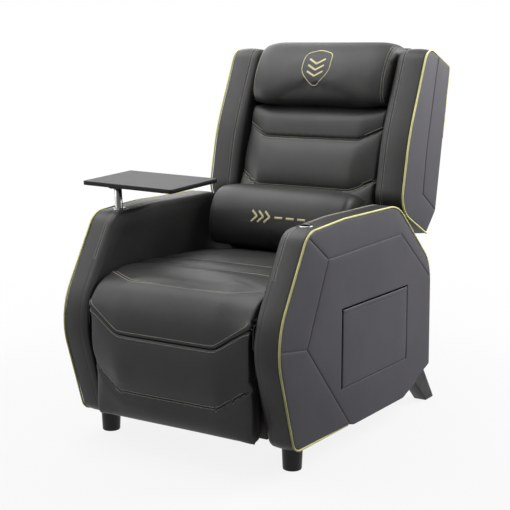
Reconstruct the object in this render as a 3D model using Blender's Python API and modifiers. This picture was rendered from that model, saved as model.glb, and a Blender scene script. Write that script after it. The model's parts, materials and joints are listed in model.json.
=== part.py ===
"""A one-seat gaming recliner with a raised footrest, a reclining back and a lift-off tray.

Metres, +Z up, floor at Z 0. The chair faces -Y and +X is the sitter's left. Everything is laid
out in the chair's own frame, whose X 0 is the plane between the arms, and an empty named recliner
carries that frame so that the world origin is below the middle of the whole chair.
"""

import math

import bmesh
import bpy
from mathutils import Matrix, Vector

# Chair frame
FRAME_SHIFT_X = 0.03404
FRAME_SHIFT_Y = -0.1254
GAP = 0.0003
MERGE = 0.00005
OVERRUN = 0.004

# Arms: outline in the YZ plane, and layers from the seat outwards
ARM_FRONT = -0.377
ARM_LENGTH = 0.874
ARM_FOOT = 0.066
ARM_RISE = 0.570
ARM_INNER = 0.267
ARM_PAD_WIDTH = 0.076
ARM_EDGE = 0.013
PANEL_EDGE_THICKNESS = 0.002
PANEL_THICKNESS = 0.009
PIPING_RADIUS = 0.0028
PIPING_INSET = 0.0015
BOARD_THICKNESS = 0.018
BOARD_FROM_OUTSIDE = 0.006
BOARD_MARGIN = 0.030
# Corners of the arm: share of its length, share of its rise, radius as a share of its rise
ARM_CORNER_SHARES = [
    (0.106, 0.000, 0.070),
    (0.000, 0.519, 0.368),
    (0.174, 0.977, 0.114),
    (0.386, 1.000, 0.526),
    (0.743, 1.000, 0.228),
    (0.993, 0.665, 0.193),
    (1.000, 0.104, 0.018),
    (0.799, 0.000, 0.035),
]
PIPING_START_SHARE = 0.428
# Seams of the side panel: the corners where its centre facet meets the sloping ones
PANEL_SEAM_SHARES = [(0.428, 0.000), (0.164, 0.454), (0.283, 0.833), (0.760, 0.853), (0.985, 0.579)]
# What each sloping facet falls to: a corner of the outline, as an index
PANEL_FALL_CORNERS = [0, 1, 3, 4]
ARC_STEP = math.radians(14)
LINK_ARC_STEP = math.radians(36)

# Side pocket, in the left side panel
POCKET_FRONT = -0.057
POCKET_LENGTH = 0.387
POCKET_BASE = 0.180
POCKET_RISE = 0.214
POCKET_MOUTH = 0.012
POCKET_DEPTH = 0.007
POCKET_SHEET = 0.002
POCKET_RIM = 0.005

# Legs
FRONT_LEG_X = 0.302
FRONT_LEG_Y = -0.221
FRONT_LEG_TOP_RADIUS = 0.028
FRONT_LEG_FOOT_RADIUS = 0.025
LEG_ROUND = 0.003
REAR_LEG_X = 0.289
REAR_LEG_WIDTH = 0.041
REAR_LEG_FOOT_Y = 0.526
REAR_LEG_FOOT_LENGTH = 0.054
REAR_LEG_SHARES = (0.55, 0.965)

# Wooden rails between the arms
RAIL_THICKNESS = 0.024
RAIL_HEIGHT = 0.070
RAIL_BASE = 0.096
FRONT_RAIL_Y = -0.215
REAR_RAIL_Y = 0.430

# Pivots of the moving parts, in the YZ plane
FOOTREST_PIVOT = (-0.330, 0.380)
BACK_PIVOT = (0.335, 0.385)
DRIVE_PIVOT = (-0.120, 0.345)
CRANK_Y = 0.065
CRANK_Z = -0.040

# Steel mechanism
STEEL = 0.004
PLATE_MARGIN = 0.019
PLATE_TOP = 0.402
PLATE_BASE = 0.328
PLATE_CORNER = 0.016
LEVER_X = 0.2575
COUPLER_X = 0.2522
EYE_RADIUS = 0.011
PIN_RADIUS = 0.006
STUD_RADIUS = 0.004
RUNNING_CLEARANCE = 0.0003
OPEN_CLEARANCE = 0.001
TUBE_RADIUS = 0.010
PIN_FLATS = 12
SOCKET_FLATS = 24

# Seat
SEAT_RAIL_TOP = 0.3875
SEAT_RAIL_SIZE = 0.025
SEAT_RAIL_FRONT_Y = -0.250
SEAT_RAIL_REAR_Y = 0.270
SPRING_RADIUS = 0.002
SPRING_WAVE = 0.022
SPRING_PITCH = 0.120
SPRING_COUNT = 4
SPRING_BENDS = 14
SPRING_END = 0.008
SPRING_BEND_SHARES = (0.15, 0.85)
PAD_HALF_WIDTH = 0.255
SEAT_FRONT = -0.346
SEAT_LENGTH = 0.636
SEAT_THICKNESS = 0.100
# Rows of the seat's cross section from its front lip over the top: middle point, side point
SEAT_ROW_SHARES = [
    ((0.003, 0.240), (0.013, 0.250)),
    ((0.013, 0.480), (0.031, 0.460)),
    ((0.068, 0.700), (0.142, 0.720)),
    ((0.159, 0.900), (0.195, 0.820)),
    ((0.321, 0.855), (0.321, 0.725)),
    ((0.393, 0.990), (0.393, 0.820)),
    ((0.462, 0.885), (0.462, 0.735)),
    ((0.638, 0.970), (0.638, 0.810)),
    ((0.843, 0.870), (0.843, 0.740)),
    ((0.994, 0.660), (0.991, 0.580)),
    ((1.000, 0.060), (0.994, 0.100)),
    ((0.858, 0.000), (0.858, 0.000)),
    ((0.230, 0.000), (0.230, 0.000)),
    ((0.104, 0.000), (0.104, 0.020)),
    ((0.072, 0.160), (0.072, 0.170)),
    ((0.038, 0.265), (0.038, 0.270)),
]
# Where each row leaves its middle line for its side point, and the columns of a cushion's cage
KNEE_SHARE = 0.625
COLUMN_SHARES = [-1.0, -0.95, -0.79, -0.625, -0.25, 0.25, 0.625, 0.79, 0.95, 1.0]
SIDE_DRAW_SHARE = 0.10

# Footrest
FOOTREST_FRONT = -0.374
FOOTREST_DEPTH = 0.104
FOOTREST_BASE = 0.082
FOOTREST_RISE = 0.331
FOOTREST_BOARD_TOP = (-0.306, 0.370)
FOOTREST_BOARD_LOW = (-0.272, 0.084)
FOOTREST_BOARD_THICKNESS = 0.015
FOOTREST_ROW_SHARES = [
    ((0.612, 0.949), (0.612, 0.946)),
    ((0.462, 1.000), (0.462, 0.994)),
    ((0.221, 0.973), (0.279, 0.973)),
    ((0.077, 0.876), (0.192, 0.958)),
    ((0.175, 0.740), (0.325, 0.930)),
    ((0.000, 0.659), (0.183, 0.864)),
    ((0.000, 0.495), (0.154, 0.701)),
    ((0.087, 0.332), (0.212, 0.520)),
    ((0.310, 0.257), (0.440, 0.447)),
    ((0.192, 0.187), (0.279, 0.375)),
    ((0.317, 0.073), (0.365, 0.175)),
    ((0.500, 0.003), (0.500, 0.018)),
]
BRACKET_FOOT_SHARE = 0.65
BRACKET_ROUND = 0.006

# Back
BACK_HALF_WIDTH = 0.2397
BACK_PAD_HALF_WIDTH = 0.237
BACK_BOARD_LOW = (0.385, 0.425)
BACK_BOARD_TOP = (0.5508, 1.0356)
BACK_BOARD_THICKNESS = 0.018
BACK_PAD_FRONT = 0.236
BACK_PAD_DEPTH = 0.280
BACK_PAD_BASE = 0.440
BACK_PAD_RISE = 0.465
BACK_ROW_SHARES = [
    ((0.093, 0.034), (0.164, 0.039)),
    ((0.000, 0.112), (0.100, 0.116)),
    ((0.086, 0.284), (0.221, 0.305)),
    ((0.186, 0.417), (0.350, 0.477)),
    ((0.335, 0.468), (0.480, 0.541)),
    ((0.279, 0.538), (0.450, 0.615)),
    ((0.343, 0.656), (0.507, 0.727)),
    ((0.414, 0.744), (0.557, 0.813)),
    ((0.540, 0.778), (0.655, 0.853)),
    ((0.493, 0.843), (0.600, 0.908)),
    ((0.543, 0.929), (0.614, 0.963)),
    ((0.657, 0.981), (0.671, 0.994)),
]
HEADREST_FRONT = 0.381
HEADREST_DEPTH = 0.172
HEADREST_BASE = 0.900
HEADREST_RISE = 0.192
HEADREST_SETBACK = 0.0012
HEADREST_ROW_SHARES = [
    ((0.273, 0.000), (0.285, 0.026)),
    ((0.076, 0.021), (0.180, 0.062)),
    ((0.000, 0.182), (0.099, 0.219)),
    ((0.076, 0.469), (0.180, 0.469)),
    ((0.250, 0.760), (0.320, 0.708)),
    ((0.436, 0.948), (0.471, 0.854)),
    ((0.657, 1.000), (0.657, 0.875)),
    ((0.878, 0.958), (0.878, 0.865)),
]
LUMBAR_FRONT = 0.1448
LUMBAR_DEPTH = 0.147
LUMBAR_BASE = 0.488
LUMBAR_RISE = 0.184
LUMBAR_ROW_SHARES = [
    ((0.354, 0.000), (0.408, 0.022)),
    ((0.068, 0.065), (0.191, 0.098)),
    ((0.000, 0.337), (0.163, 0.348)),
    ((0.075, 0.674), (0.245, 0.663)),
    ((0.313, 0.935), (0.421, 0.880)),
    ((0.660, 1.000), (0.690, 0.946)),
    ((1.000, 0.908), (1.000, 0.880)),
    ((0.914, 0.663), (0.942, 0.663)),
    ((0.626, 0.174), (0.707, 0.228)),
]
WING_FRONT = 0.313
WING_DEPTH = 0.312
# From the arm's rear slope up to the wing's lower front corner
WING_CLEARANCE = 0.0123
WING_RISE = 0.555
WING_PAD_WIDTH = 0.091
WING_EDGE = 0.016
WING_PANEL_EDGE = 0.002
WING_PANEL_THICKNESS = 0.006
WING_CORNER_SHARES = [
    (0.567, 0.000, 0.014),
    (0.000, 0.160, 0.135),
    (0.141, 0.537, 1.045),
    (0.503, 1.000, 0.081),
    (1.000, 0.886, 0.022),
    (0.747, 0.112, 0.027),
]
WING_SEAM_SHARES = [(0.747, 0.112), (0.446, 0.222), (0.510, 0.458), (0.667, 0.818), (0.737, 0.915)]
WING_FALL_CORNERS = [1, 1, 2, 3]
REAR_PANEL_CORNER_SHARES = [
    (0.015, 0.000, 0.006),
    (0.196, 0.000, 0.019),
    (1.000, 0.920, 0.068),
    (0.573, 1.000, 0.016),
    (0.526, 0.953, 0.006),
    (0.786, 0.905, 0.019),
]
REAR_PANEL_FRONT = 0.489
REAR_PANEL_DEPTH = 0.133
REAR_PANEL_BASE = 0.440
REAR_PANEL_RISE = 0.634
# The rails between the board and the rear panel, each placed by a share of the board's length
BACK_RAIL_HEIGHT = 0.040
BACK_RAIL_LOW_SHARE = 0.20
BACK_RAIL_LOW_DEPTH = 0.066
BACK_RAIL_TOP_SHARE = 0.86
BACK_RAIL_TOP_DEPTH = 0.030
BACK_BRACKET_X = 0.240
# How far the bracket reaches from the board's foot up to the wings' foot
BACK_BRACKET_RISE_SHARE = 0.925

# Tray
TRAY_SIDE = -1
SOCKET_X = 0.3046
SOCKET_Y = -0.165
SOCKET_BORE = 0.0113
SOCKET_WALL = 0.0022
SOCKET_DEPTH = 0.090
SOCKET_FLOOR = 0.003
SOCKET_FLANGE_RADIUS = 0.019
SOCKET_FLANGE = 0.003
TRAY_POST_RADIUS = 0.011
TRAY_HEIGHT = 0.075
TRAY_LENGTH = 0.335
TRAY_WIDTH = 0.198
TRAY_THICKNESS = 0.012
TRAY_CORNER = 0.004
TRAY_REACH = 0.2205
TRAY_OVERHANG = 0.024
TRAY_TURN = math.radians(-4.8)
TRAY_FLANGE_RADIUS = 0.032
TRAY_FLANGE_THICKNESS = 0.003

# Colour, roughness and metallic value of each finish
FINISHES = {
    "black_leather": ((0.045, 0.045, 0.046), 0.42, 0.0),
    "side_leather": ((0.075, 0.072, 0.080), 0.50, 0.0),
    "piping": ((0.72, 0.70, 0.30), 0.45, 0.0),
    "plywood": ((0.55, 0.40, 0.24), 0.70, 0.0),
    "hardwood": ((0.45, 0.30, 0.17), 0.65, 0.0),
    "leg_plastic": ((0.012, 0.012, 0.013), 0.45, 0.0),
    "black_steel": ((0.03, 0.03, 0.032), 0.45, 0.8),
    "zinc_steel": ((0.50, 0.50, 0.52), 0.35, 1.0),
    "chrome": ((0.80, 0.80, 0.82), 0.12, 1.0),
    "tray_laminate": ((0.11, 0.11, 0.115), 0.50, 0.0),
}

for old in list(bpy.data.objects):
    bpy.data.objects.remove(old, do_unlink=True)


def new_collection(name):
    """A collection in the scene."""
    collection = bpy.data.collections.new(name)
    bpy.context.scene.collection.children.link(collection)
    return collection


parts = new_collection("gaming_recliner")
cutters = new_collection("cutters")


def anchor(name, parent=None, place=(0.0, 0.0, 0.0)):
    """An empty that carries pieces; those of the moving bodies stand on their joint's axis."""
    empty = bpy.data.objects.new(name, None)
    empty.location = place
    empty.parent = parent
    parts.objects.link(empty)
    return empty


recliner = anchor("recliner", place=(FRAME_SHIFT_X, FRAME_SHIFT_Y, 0.0))
footrest_axis = anchor("footrest_axis", recliner, (0.0, *FOOTREST_PIVOT))
back_axis = anchor("back_axis", recliner, (0.0, *BACK_PIVOT))
drive_axis = anchor("drive_axis", recliner, (0.0, *DRIVE_PIVOT))
crank_end = (DRIVE_PIVOT[0] + CRANK_Y, DRIVE_PIVOT[1] + CRANK_Z)
coupler_axis = anchor("coupler_axis", recliner, (0.0, *crank_end))


def finish_material(name, finish):
    """A Principled material for one piece, from the table of finishes."""
    colour, roughness, metallic = FINISHES[finish]
    material = bpy.data.materials.new(name)
    material.use_nodes = True
    shader = material.node_tree.nodes["Principled BSDF"]
    shader.inputs["Base Color"].default_value = (*colour, 1.0)
    shader.inputs["Roughness"].default_value = roughness
    shader.inputs["Metallic"].default_value = metallic
    material.diffuse_color = (*colour, 1.0)
    return material


def add_part(name, data, finish, carrier=recliner, matrix=None):
    """Links a piece laid out in the chair frame, hung from the empty that carries it."""
    part = bpy.data.objects.new(name, data)
    parts.objects.link(part)
    part.parent = carrier
    offset = Vector() if carrier is recliner else carrier.location
    part.matrix_basis = Matrix.Translation(-offset) @ (matrix or Matrix.Identity(4))
    data.materials.append(finish_material(name, finish))
    return part


def cut(part, *shapes):
    """Takes cutter meshes, laid out in the part's own frame, out of a part."""
    for i, data in enumerate(shapes):
        cutter = bpy.data.objects.new(f"{part.name}_cutter_{i}", data)
        cutters.objects.link(cutter)
        cutter.parent = part.parent
        cutter.matrix_basis = part.matrix_basis
        cutter.hide_render = True
        cutter.display_type = "WIRE"
        boolean = part.modifiers.new("cut", "BOOLEAN")
        boolean.operation = "DIFFERENCE"
        boolean.object = cutter


def bevel(part, width, segments=2):
    """Rounds a part's sharp edges."""
    modifier = part.modifiers.new("round", "BEVEL")
    modifier.width = width
    modifier.segments = segments
    modifier.limit_method = "ANGLE"
    modifier.angle_limit = math.radians(35)


def rounded(corners, step=ARC_STEP):
    """The closed outline through corners (y, z, radius), with an arc in each."""
    points = []
    for i, (y, z, radius) in enumerate(corners):
        here = Vector((y, z))
        into = (here - Vector(corners[i - 1][:2])).normalized()
        out = (Vector(corners[(i + 1) % len(corners)][:2]) - here).normalized()
        turn = math.atan2(into.x * out.y - into.y * out.x, into.dot(out))
        side = math.copysign(1.0, turn)
        start = here - into * radius * math.tan(abs(turn) / 2)
        centre = start + Vector((-into.y, into.x)) * side * radius
        steps = max(1, math.ceil(round(abs(turn) / step, 3)))
        for k in range(steps + 1):
            arm = Matrix.Rotation(turn * k / steps, 2) @ (start - centre)
            points.append(centre + arm)
    return points


def inset(corners, distance):
    """Corners of the clockwise outline moved inwards, with their radii cut to suit."""
    moved = []
    for i, (y, z, radius) in enumerate(corners):
        here = Vector((y, z))
        into = (here - Vector(corners[i - 1][:2])).normalized()
        out = (Vector(corners[(i + 1) % len(corners)][:2]) - here).normalized()
        bend = Vector((into.y, -into.x)) + Vector((out.y, -out.x))
        moved.append((*(here + bend * distance / (1 + into.dot(out))), max(radius - distance, 0.0)))
    return moved


def from_shares(shares, front, base, depth, rise):
    """Corners (y, z, radius) of an outline given as shares of its box."""
    return [(front + y * depth, base + z * rise, r * rise) for y, z, r in shares]


def outline_mesh(points, low_x, high_x):
    """A flat outline in the YZ plane, given thickness from low_x to high_x."""
    curve = bpy.data.curves.new("outline", "CURVE")
    curve.dimensions = "2D"
    curve.fill_mode = "BOTH"
    curve.extrude = abs(high_x - low_x) / 2
    spline = curve.splines.new("POLY")
    spline.points.add(len(points) - 1)
    for point, (y, z) in zip(spline.points, points):
        point.co = (y, z, 0.0, 1.0)
    spline.use_cyclic_u = True
    holder = bpy.data.objects.new("outline", curve)
    bpy.context.scene.collection.objects.link(holder)
    bpy.context.view_layer.update()
    depsgraph = bpy.context.evaluated_depsgraph_get()
    data = bpy.data.meshes.new_from_object(holder.evaluated_get(depsgraph))
    bpy.data.objects.remove(holder)
    bpy.data.curves.remove(curve)
    stand_up = Matrix(((0, 0, 1, (low_x + high_x) / 2), (1, 0, 0, 0), (0, 1, 0, 0), (0, 0, 0, 1)))
    data.transform(stand_up)
    shape = bmesh.new()
    shape.from_mesh(data)
    bmesh.ops.remove_doubles(shape, verts=shape.verts, dist=MERGE)
    bmesh.ops.recalc_face_normals(shape, faces=shape.faces)
    shape.to_mesh(data)
    shape.free()
    return data


def box_mesh(low, high):
    """A box between two corners."""
    shape = bmesh.new()
    bmesh.ops.create_cube(shape, size=1.0)
    middle = (Vector(low) + Vector(high)) / 2
    size = Vector(high) - Vector(low)
    bmesh.ops.scale(shape, vec=size, verts=shape.verts)
    bmesh.ops.translate(shape, vec=middle, verts=shape.verts)
    data = bpy.data.meshes.new("box")
    shape.to_mesh(data)
    shape.free()
    return data


def cylinder_x(radius, low_x, high_x, centre):
    """A round bar along X from low_x to high_x, centred on (y, z)."""
    shape = bmesh.new()
    bmesh.ops.create_cone(
        shape,
        cap_ends=True,
        segments=PIN_FLATS,
        radius1=radius,
        radius2=radius,
        depth=abs(high_x - low_x),
        matrix=Matrix.Translation(((low_x + high_x) / 2, *centre)) @ Matrix.Rotation(math.pi / 2, 4, "Y"),
    )
    data = bpy.data.meshes.new("bar")
    shape.to_mesh(data)
    shape.free()
    return data


def fuse(part, *shapes):
    """Joins meshes, laid out in the part's own frame, to a part."""
    for i, data in enumerate(shapes):
        added = bpy.data.objects.new(f"{part.name}_added_{i}", data)
        cutters.objects.link(added)
        added.parent = part.parent
        added.matrix_basis = part.matrix_basis
        added.hide_render = True
        added.display_type = "WIRE"
        boolean = part.modifiers.new("join", "BOOLEAN")
        boolean.operation = "UNION"
        boolean.object = added


def turned(name, profile, finish, matrix, carrier=recliner, steps=28):
    """A turned piece: a profile of (radius, height) points, spun round its own Z axis."""
    data = bpy.data.meshes.new(name)
    edges = [(i, i + 1) for i in range(len(profile) - 1)]
    data.from_pydata([(r, 0.0, h) for r, h in profile], edges, [])
    part = add_part(name, data, finish, carrier, matrix)
    screw = part.modifiers.new("turn", "SCREW")
    screw.steps = steps
    screw.render_steps = steps
    screw.use_merge_vertices = True
    screw.merge_threshold = MERGE
    return part


def wire(name, points, radius, finish, carrier=recliner, resolution=1):
    """A round cord or wire through points, with filled ends."""
    curve = bpy.data.curves.new(name, "CURVE")
    curve.dimensions = "3D"
    curve.bevel_depth = radius
    curve.bevel_resolution = resolution
    curve.use_fill_caps = True
    spline = curve.splines.new("POLY")
    spline.points.add(len(points) - 1)
    for point, co in zip(spline.points, points):
        point.co = (*co, 1.0)
    return add_part(name, curve, finish, carrier)


def loft(name, rings, finish, carrier):
    """A soft closed body through rings of (x, y, z) points, capped at both ends and subdivided."""
    shape = bmesh.new()
    loops = [[shape.verts.new(point) for point in ring] for ring in rings]
    for near, far in zip(loops, loops[1:]):
        for i in range(len(near)):
            shape.faces.new((near[i - 1], near[i], far[i], far[i - 1]))
    shape.faces.new(reversed(loops[0]))
    shape.faces.new(loops[-1])
    bmesh.ops.recalc_face_normals(shape, faces=shape.faces)
    data = bpy.data.meshes.new(name)
    shape.to_mesh(data)
    shape.free()
    data.shade_smooth()
    part = add_part(name, data, finish, carrier)
    subdivision = part.modifiers.new("soften", "SUBSURF")
    subdivision.levels = 1
    subdivision.render_levels = 1
    return part


def cushion(name, rows, half_width, finish, carrier):
    """A cushion from rows of (middle point, side point), each in the YZ plane.

    Across the chair a row keeps its middle point as far as the knee and then runs to its side
    point, so that its seams rise at the sides. The last columns draw in towards the ring's own
    centre, which rounds the cushion's sides.
    """
    rings = []
    for share in COLUMN_SHARES:
        run = max(0.0, (abs(share) - KNEE_SHARE) / (1 - KNEE_SHARE))
        ring = [Vector(middle).lerp(Vector(side), run) for middle, side in rows]
        if abs(share) == 1.0:
            centre = sum(ring, Vector((0.0, 0.0))) / len(ring)
            ring = [point.lerp(centre, SIDE_DRAW_SHARE) for point in ring]
        rings.append([(share * half_width, *point) for point in ring])
    return loft(name, rings, finish, carrier)


def rows_in_box(shares, front, base, depth, rise):
    """A cushion's rows from shares of its box."""
    return [
        tuple((front + y * depth, base + z * rise) for y, z in pair)
        for pair in shares
    ]


def along(low, top, height, ahead):
    """The point of a leaning board's front face at a height, moved ahead of it by a distance."""
    share = (height - low[1]) / (top[1] - low[1])
    return (low[0] + (top[0] - low[0]) * share - ahead, height)


def leaning_board(low, top, thickness, low_x, high_x):
    """A board with its front face from low to top, and its thickness behind that face."""
    run = Vector(top) - Vector(low)
    behind = Vector((run.y, -run.x)).normalized() * thickness
    corners = [Vector(low), Vector(top), Vector(top) + behind, Vector(low) + behind]
    return outline_mesh(corners, low_x, high_x)


def faceted_panel(corners, seams, falls, low_x, edge_x, high_x):
    """A padded panel: a slab over an outline, sliced by one plane for each sloping facet.

    The plane of a facet holds two neighbouring seam corners at the panel's full height and falls
    to the panel's edge height at one corner of the outline.
    """
    data = outline_mesh(rounded(corners), low_x, high_x)
    shape = bmesh.new()
    shape.from_mesh(data)
    outward = math.copysign(1.0, high_x - low_x)
    for (a, b), fall in zip(zip(seams, seams[1:]), falls):
        start = Vector((high_x, *a))
        run = Vector((high_x, *b)) - start
        drop = Vector((edge_x, *corners[fall][:2])) - start
        normal = run.cross(drop).normalized()
        normal *= math.copysign(1.0, normal.x * outward)
        everything = shape.verts[:] + shape.edges[:] + shape.faces[:]
        sliced = bmesh.ops.bisect_plane(
            shape, geom=everything, dist=MERGE, plane_co=start, plane_no=normal, clear_outer=True
        )
        rim = [item for item in sliced["geom_cut"] if isinstance(item, bmesh.types.BMEdge)]
        bmesh.ops.edgeloop_fill(shape, edges=rim)
    bmesh.ops.recalc_face_normals(shape, faces=shape.faces)
    shape.to_mesh(data)
    shape.free()
    return data


def ordered(side, near, far):
    """The X range from near to far on one side of the chair, low value first."""
    return tuple(sorted((side * near, side * far)))


def seam_points(shares, front, base, depth, rise):
    """Seam corners from shares of the same box as the outline's."""
    return [(front + y * depth, base + z * rise) for y, z in shares]


SIDES = ((1, "left"), (-1, "right"))
arm_box = (ARM_FRONT, ARM_FOOT, ARM_LENGTH, ARM_RISE)
arm_corners = from_shares(ARM_CORNER_SHARES, *arm_box)
arm_pad_outer = ARM_INNER + ARM_PAD_WIDTH
panel_inner = arm_pad_outer + GAP
panel_edge = panel_inner + PANEL_EDGE_THICKNESS
panel_outer = panel_inner + PANEL_THICKNESS
panel_inset = PIPING_INSET + PIPING_RADIUS + GAP

# The arm's top slopes forward under the tray, and the socket stands square to it
slope_front, slope_rear = Vector(arm_corners[2][:2]), Vector(arm_corners[3][:2])
top_slope = slope_rear - slope_front
socket_lean = math.atan2(top_slope.y, top_slope.x)
socket_mouth = slope_front + top_slope * ((SOCKET_Y - slope_front.x) / top_slope.x)


def socket_frame(side):
    """The frame of a tray socket: its origin on the arm's top, its Z along the sleeve."""
    place = Matrix.Translation((side * SOCKET_X, *socket_mouth))
    return place @ Matrix.Rotation(socket_lean, 4, "X")


def upright_cylinder(radius, low, high, matrix):
    """A round bar along the Z axis of a frame, from low to high."""
    shape = bmesh.new()
    bmesh.ops.create_cone(
        shape,
        cap_ends=True,
        segments=SOCKET_FLATS,
        radius1=radius,
        radius2=radius,
        depth=high - low,
        matrix=matrix @ Matrix.Translation((0.0, 0.0, (low + high) / 2)),
    )
    data = bpy.data.meshes.new("cylinder")
    shape.to_mesh(data)
    shape.free()
    return data


# Arm pads, boards, side panels and welts
board_corners = inset(arm_corners, BOARD_MARGIN)
board_outer = arm_pad_outer - BOARD_FROM_OUTSIDE
board_inner = board_outer - BOARD_THICKNESS
for side, hand in SIDES:
    pad = add_part(
        f"arm_pad_{hand}",
        outline_mesh(rounded(arm_corners), *ordered(side, ARM_INNER, arm_pad_outer)),
        "black_leather",
    )
    bevel(pad, ARM_EDGE)
    slot_points = rounded(inset(arm_corners, BOARD_MARGIN - GAP))
    slot_front = min(y for y, z in slot_points if z < ARM_FOOT + BOARD_MARGIN)
    slot_rear = max(y for y, z in slot_points if z < ARM_FOOT + BOARD_MARGIN)
    sleeve_hole = SOCKET_BORE + SOCKET_WALL + GAP
    cut(
        pad,
        outline_mesh(slot_points, *ordered(side, board_inner - GAP, board_outer + GAP)),
        box_mesh(
            (ordered(side, board_inner - GAP, board_outer + GAP)[0], slot_front, ARM_FOOT - OVERRUN),
            (ordered(side, board_inner - GAP, board_outer + GAP)[1], slot_rear, ARM_FOOT + BOARD_MARGIN * 2),
        ),
        upright_cylinder(sleeve_hole, -SOCKET_DEPTH - GAP, SOCKET_DEPTH, socket_frame(side)),
    )
    add_part(
        f"arm_board_{hand}",
        outline_mesh(rounded(board_corners), *ordered(side, board_inner, board_outer)),
        "plywood",
    )
    low_x, high_x = side * panel_inner, side * panel_outer
    panel = add_part(
        f"side_panel_{hand}",
        faceted_panel(
            inset(arm_corners, panel_inset),
            seam_points(PANEL_SEAM_SHARES, *arm_box),
            PANEL_FALL_CORNERS,
            low_x,
            side * panel_edge,
            high_x,
        ),
        "side_leather",
    )
    if side > 0:
        cut(
            panel,
            box_mesh(
                (panel_outer - POCKET_DEPTH, POCKET_FRONT, POCKET_BASE),
                (
                    panel_outer + OVERRUN,
                    POCKET_FRONT + POCKET_LENGTH,
                    POCKET_BASE + POCKET_RISE + POCKET_MOUTH,
                ),
            ),
        )
    welt_x = side * (panel_inner + PIPING_RADIUS)
    welt = rounded(inset(arm_corners, PIPING_INSET))
    below = min(z for y, z in welt)
    start = Vector((ARM_FRONT + PIPING_START_SHARE * ARM_LENGTH, below))
    last = max(i for i, point in enumerate(welt) if point.y > ARM_FOOT + ARM_RISE / 2)
    route = [start, *welt[: last + 1]]
    wire(f"arm_piping_{hand}", [(welt_x, *point) for point in route], PIPING_RADIUS, "piping")

# Side pocket: a sheet with a rim on three sides, open at the top and towards the panel
pocket_low = (panel_outer - POCKET_DEPTH + GAP, POCKET_FRONT + GAP, POCKET_BASE + GAP)
pocket_high = (panel_outer, POCKET_FRONT + POCKET_LENGTH - GAP, POCKET_BASE + POCKET_RISE)
pocket = add_part("side_pocket", box_mesh(pocket_low, pocket_high), "side_leather")
cut(
    pocket,
    box_mesh(
        (pocket_low[0] - OVERRUN, pocket_low[1] + POCKET_RIM, pocket_low[2] + POCKET_RIM),
        (pocket_high[0] - POCKET_SHEET, pocket_high[1] - POCKET_RIM, pocket_high[2] + OVERRUN),
    ),
)

# Legs
rear_slope_low, rear_slope_top = Vector(arm_corners[7][:2]), Vector(arm_corners[6][:2])
for side, hand in SIDES:
    leg_top = ARM_FOOT - GAP
    profile = [
        (0.0, leg_top),
        (FRONT_LEG_TOP_RADIUS, leg_top),
        (FRONT_LEG_FOOT_RADIUS, LEG_ROUND),
        (FRONT_LEG_FOOT_RADIUS - LEG_ROUND, 0.0),
        (0.0, 0.0),
    ]
    turned(
        f"front_leg_{hand}",
        profile,
        "leg_plastic",
        Matrix.Translation((side * FRONT_LEG_X, FRONT_LEG_Y, 0.0)),
    )
    down = Vector((0.0, GAP))
    seat_front, seat_rear = (
        rear_slope_low.lerp(rear_slope_top, share) - down for share in REAR_LEG_SHARES
    )
    foot_rear = Vector((REAR_LEG_FOOT_Y + REAR_LEG_FOOT_LENGTH, 0.0))
    foot_front = Vector((REAR_LEG_FOOT_Y, 0.0))
    leg = add_part(
        f"rear_leg_{hand}",
        outline_mesh(
            [seat_front, seat_rear, foot_rear, foot_front],
            *ordered(side, REAR_LEG_X, REAR_LEG_X + REAR_LEG_WIDTH),
        ),
        "leg_plastic",
    )

# Wooden rails between the arms
for name, y in (("front_rail", FRONT_RAIL_Y), ("rear_rail", REAR_RAIL_Y)):
    half = ARM_INNER - GAP
    rail = add_part(
        name,
        box_mesh((-half, y, RAIL_BASE), (half, y + RAIL_THICKNESS, RAIL_BASE + RAIL_HEIGHT)),
        "hardwood",
    )
    bevel(rail, LEG_ROUND, 1)

# Steel plates on the arms' inner faces, with the pins that the footrest and the back turn on
plate_outer = ARM_INNER - GAP
plate_inner = plate_outer - STEEL
plate_corners = [
    (FOOTREST_PIVOT[0] - PLATE_MARGIN, PLATE_BASE, PLATE_CORNER),
    (FOOTREST_PIVOT[0] - PLATE_MARGIN, PLATE_TOP, PLATE_CORNER),
    (BACK_PIVOT[0] + PLATE_MARGIN, PLATE_TOP, PLATE_CORNER),
    (BACK_PIVOT[0] + PLATE_MARGIN, PLATE_BASE, PLATE_CORNER),
]
hole_radius = PIN_RADIUS + RUNNING_CLEARANCE
for side, hand in SIDES:
    plate = add_part(
        f"mechanism_plate_{hand}",
        outline_mesh(rounded(plate_corners, LINK_ARC_STEP), *ordered(side, plate_inner, plate_outer)),
        "zinc_steel",
    )
    span = ordered(side, plate_inner - OVERRUN, plate_outer + OVERRUN)
    cut(
        plate,
        cylinder_x(hole_radius, *span, FOOTREST_PIVOT),
        cylinder_x(hole_radius, *span, BACK_PIVOT),
        cylinder_x(hole_radius, *span, DRIVE_PIVOT),
    )
    add_part(
        f"footrest_pin_{hand}",
        cylinder_x(PIN_RADIUS, *ordered(side, LEVER_X - GAP, plate_outer), FOOTREST_PIVOT),
        "zinc_steel",
    )
    add_part(
        f"back_pin_{hand}",
        cylinder_x(PIN_RADIUS, *ordered(side, BACK_BRACKET_X - GAP, plate_outer), BACK_PIVOT),
        "zinc_steel",
    )

# Seat: two steel rails, sinuous springs across them and the cushion on the springs
for name, y in (("seat_rail_front", SEAT_RAIL_FRONT_Y), ("seat_rail_rear", SEAT_RAIL_REAR_Y)):
    half = plate_inner - GAP
    rail = add_part(
        name,
        box_mesh(
            (-half, y - SEAT_RAIL_SIZE / 2, SEAT_RAIL_TOP - SEAT_RAIL_SIZE),
            (half, y + SEAT_RAIL_SIZE / 2, SEAT_RAIL_TOP),
        ),
        "black_steel",
    )
    bevel(rail, LEG_ROUND, 1)

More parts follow.
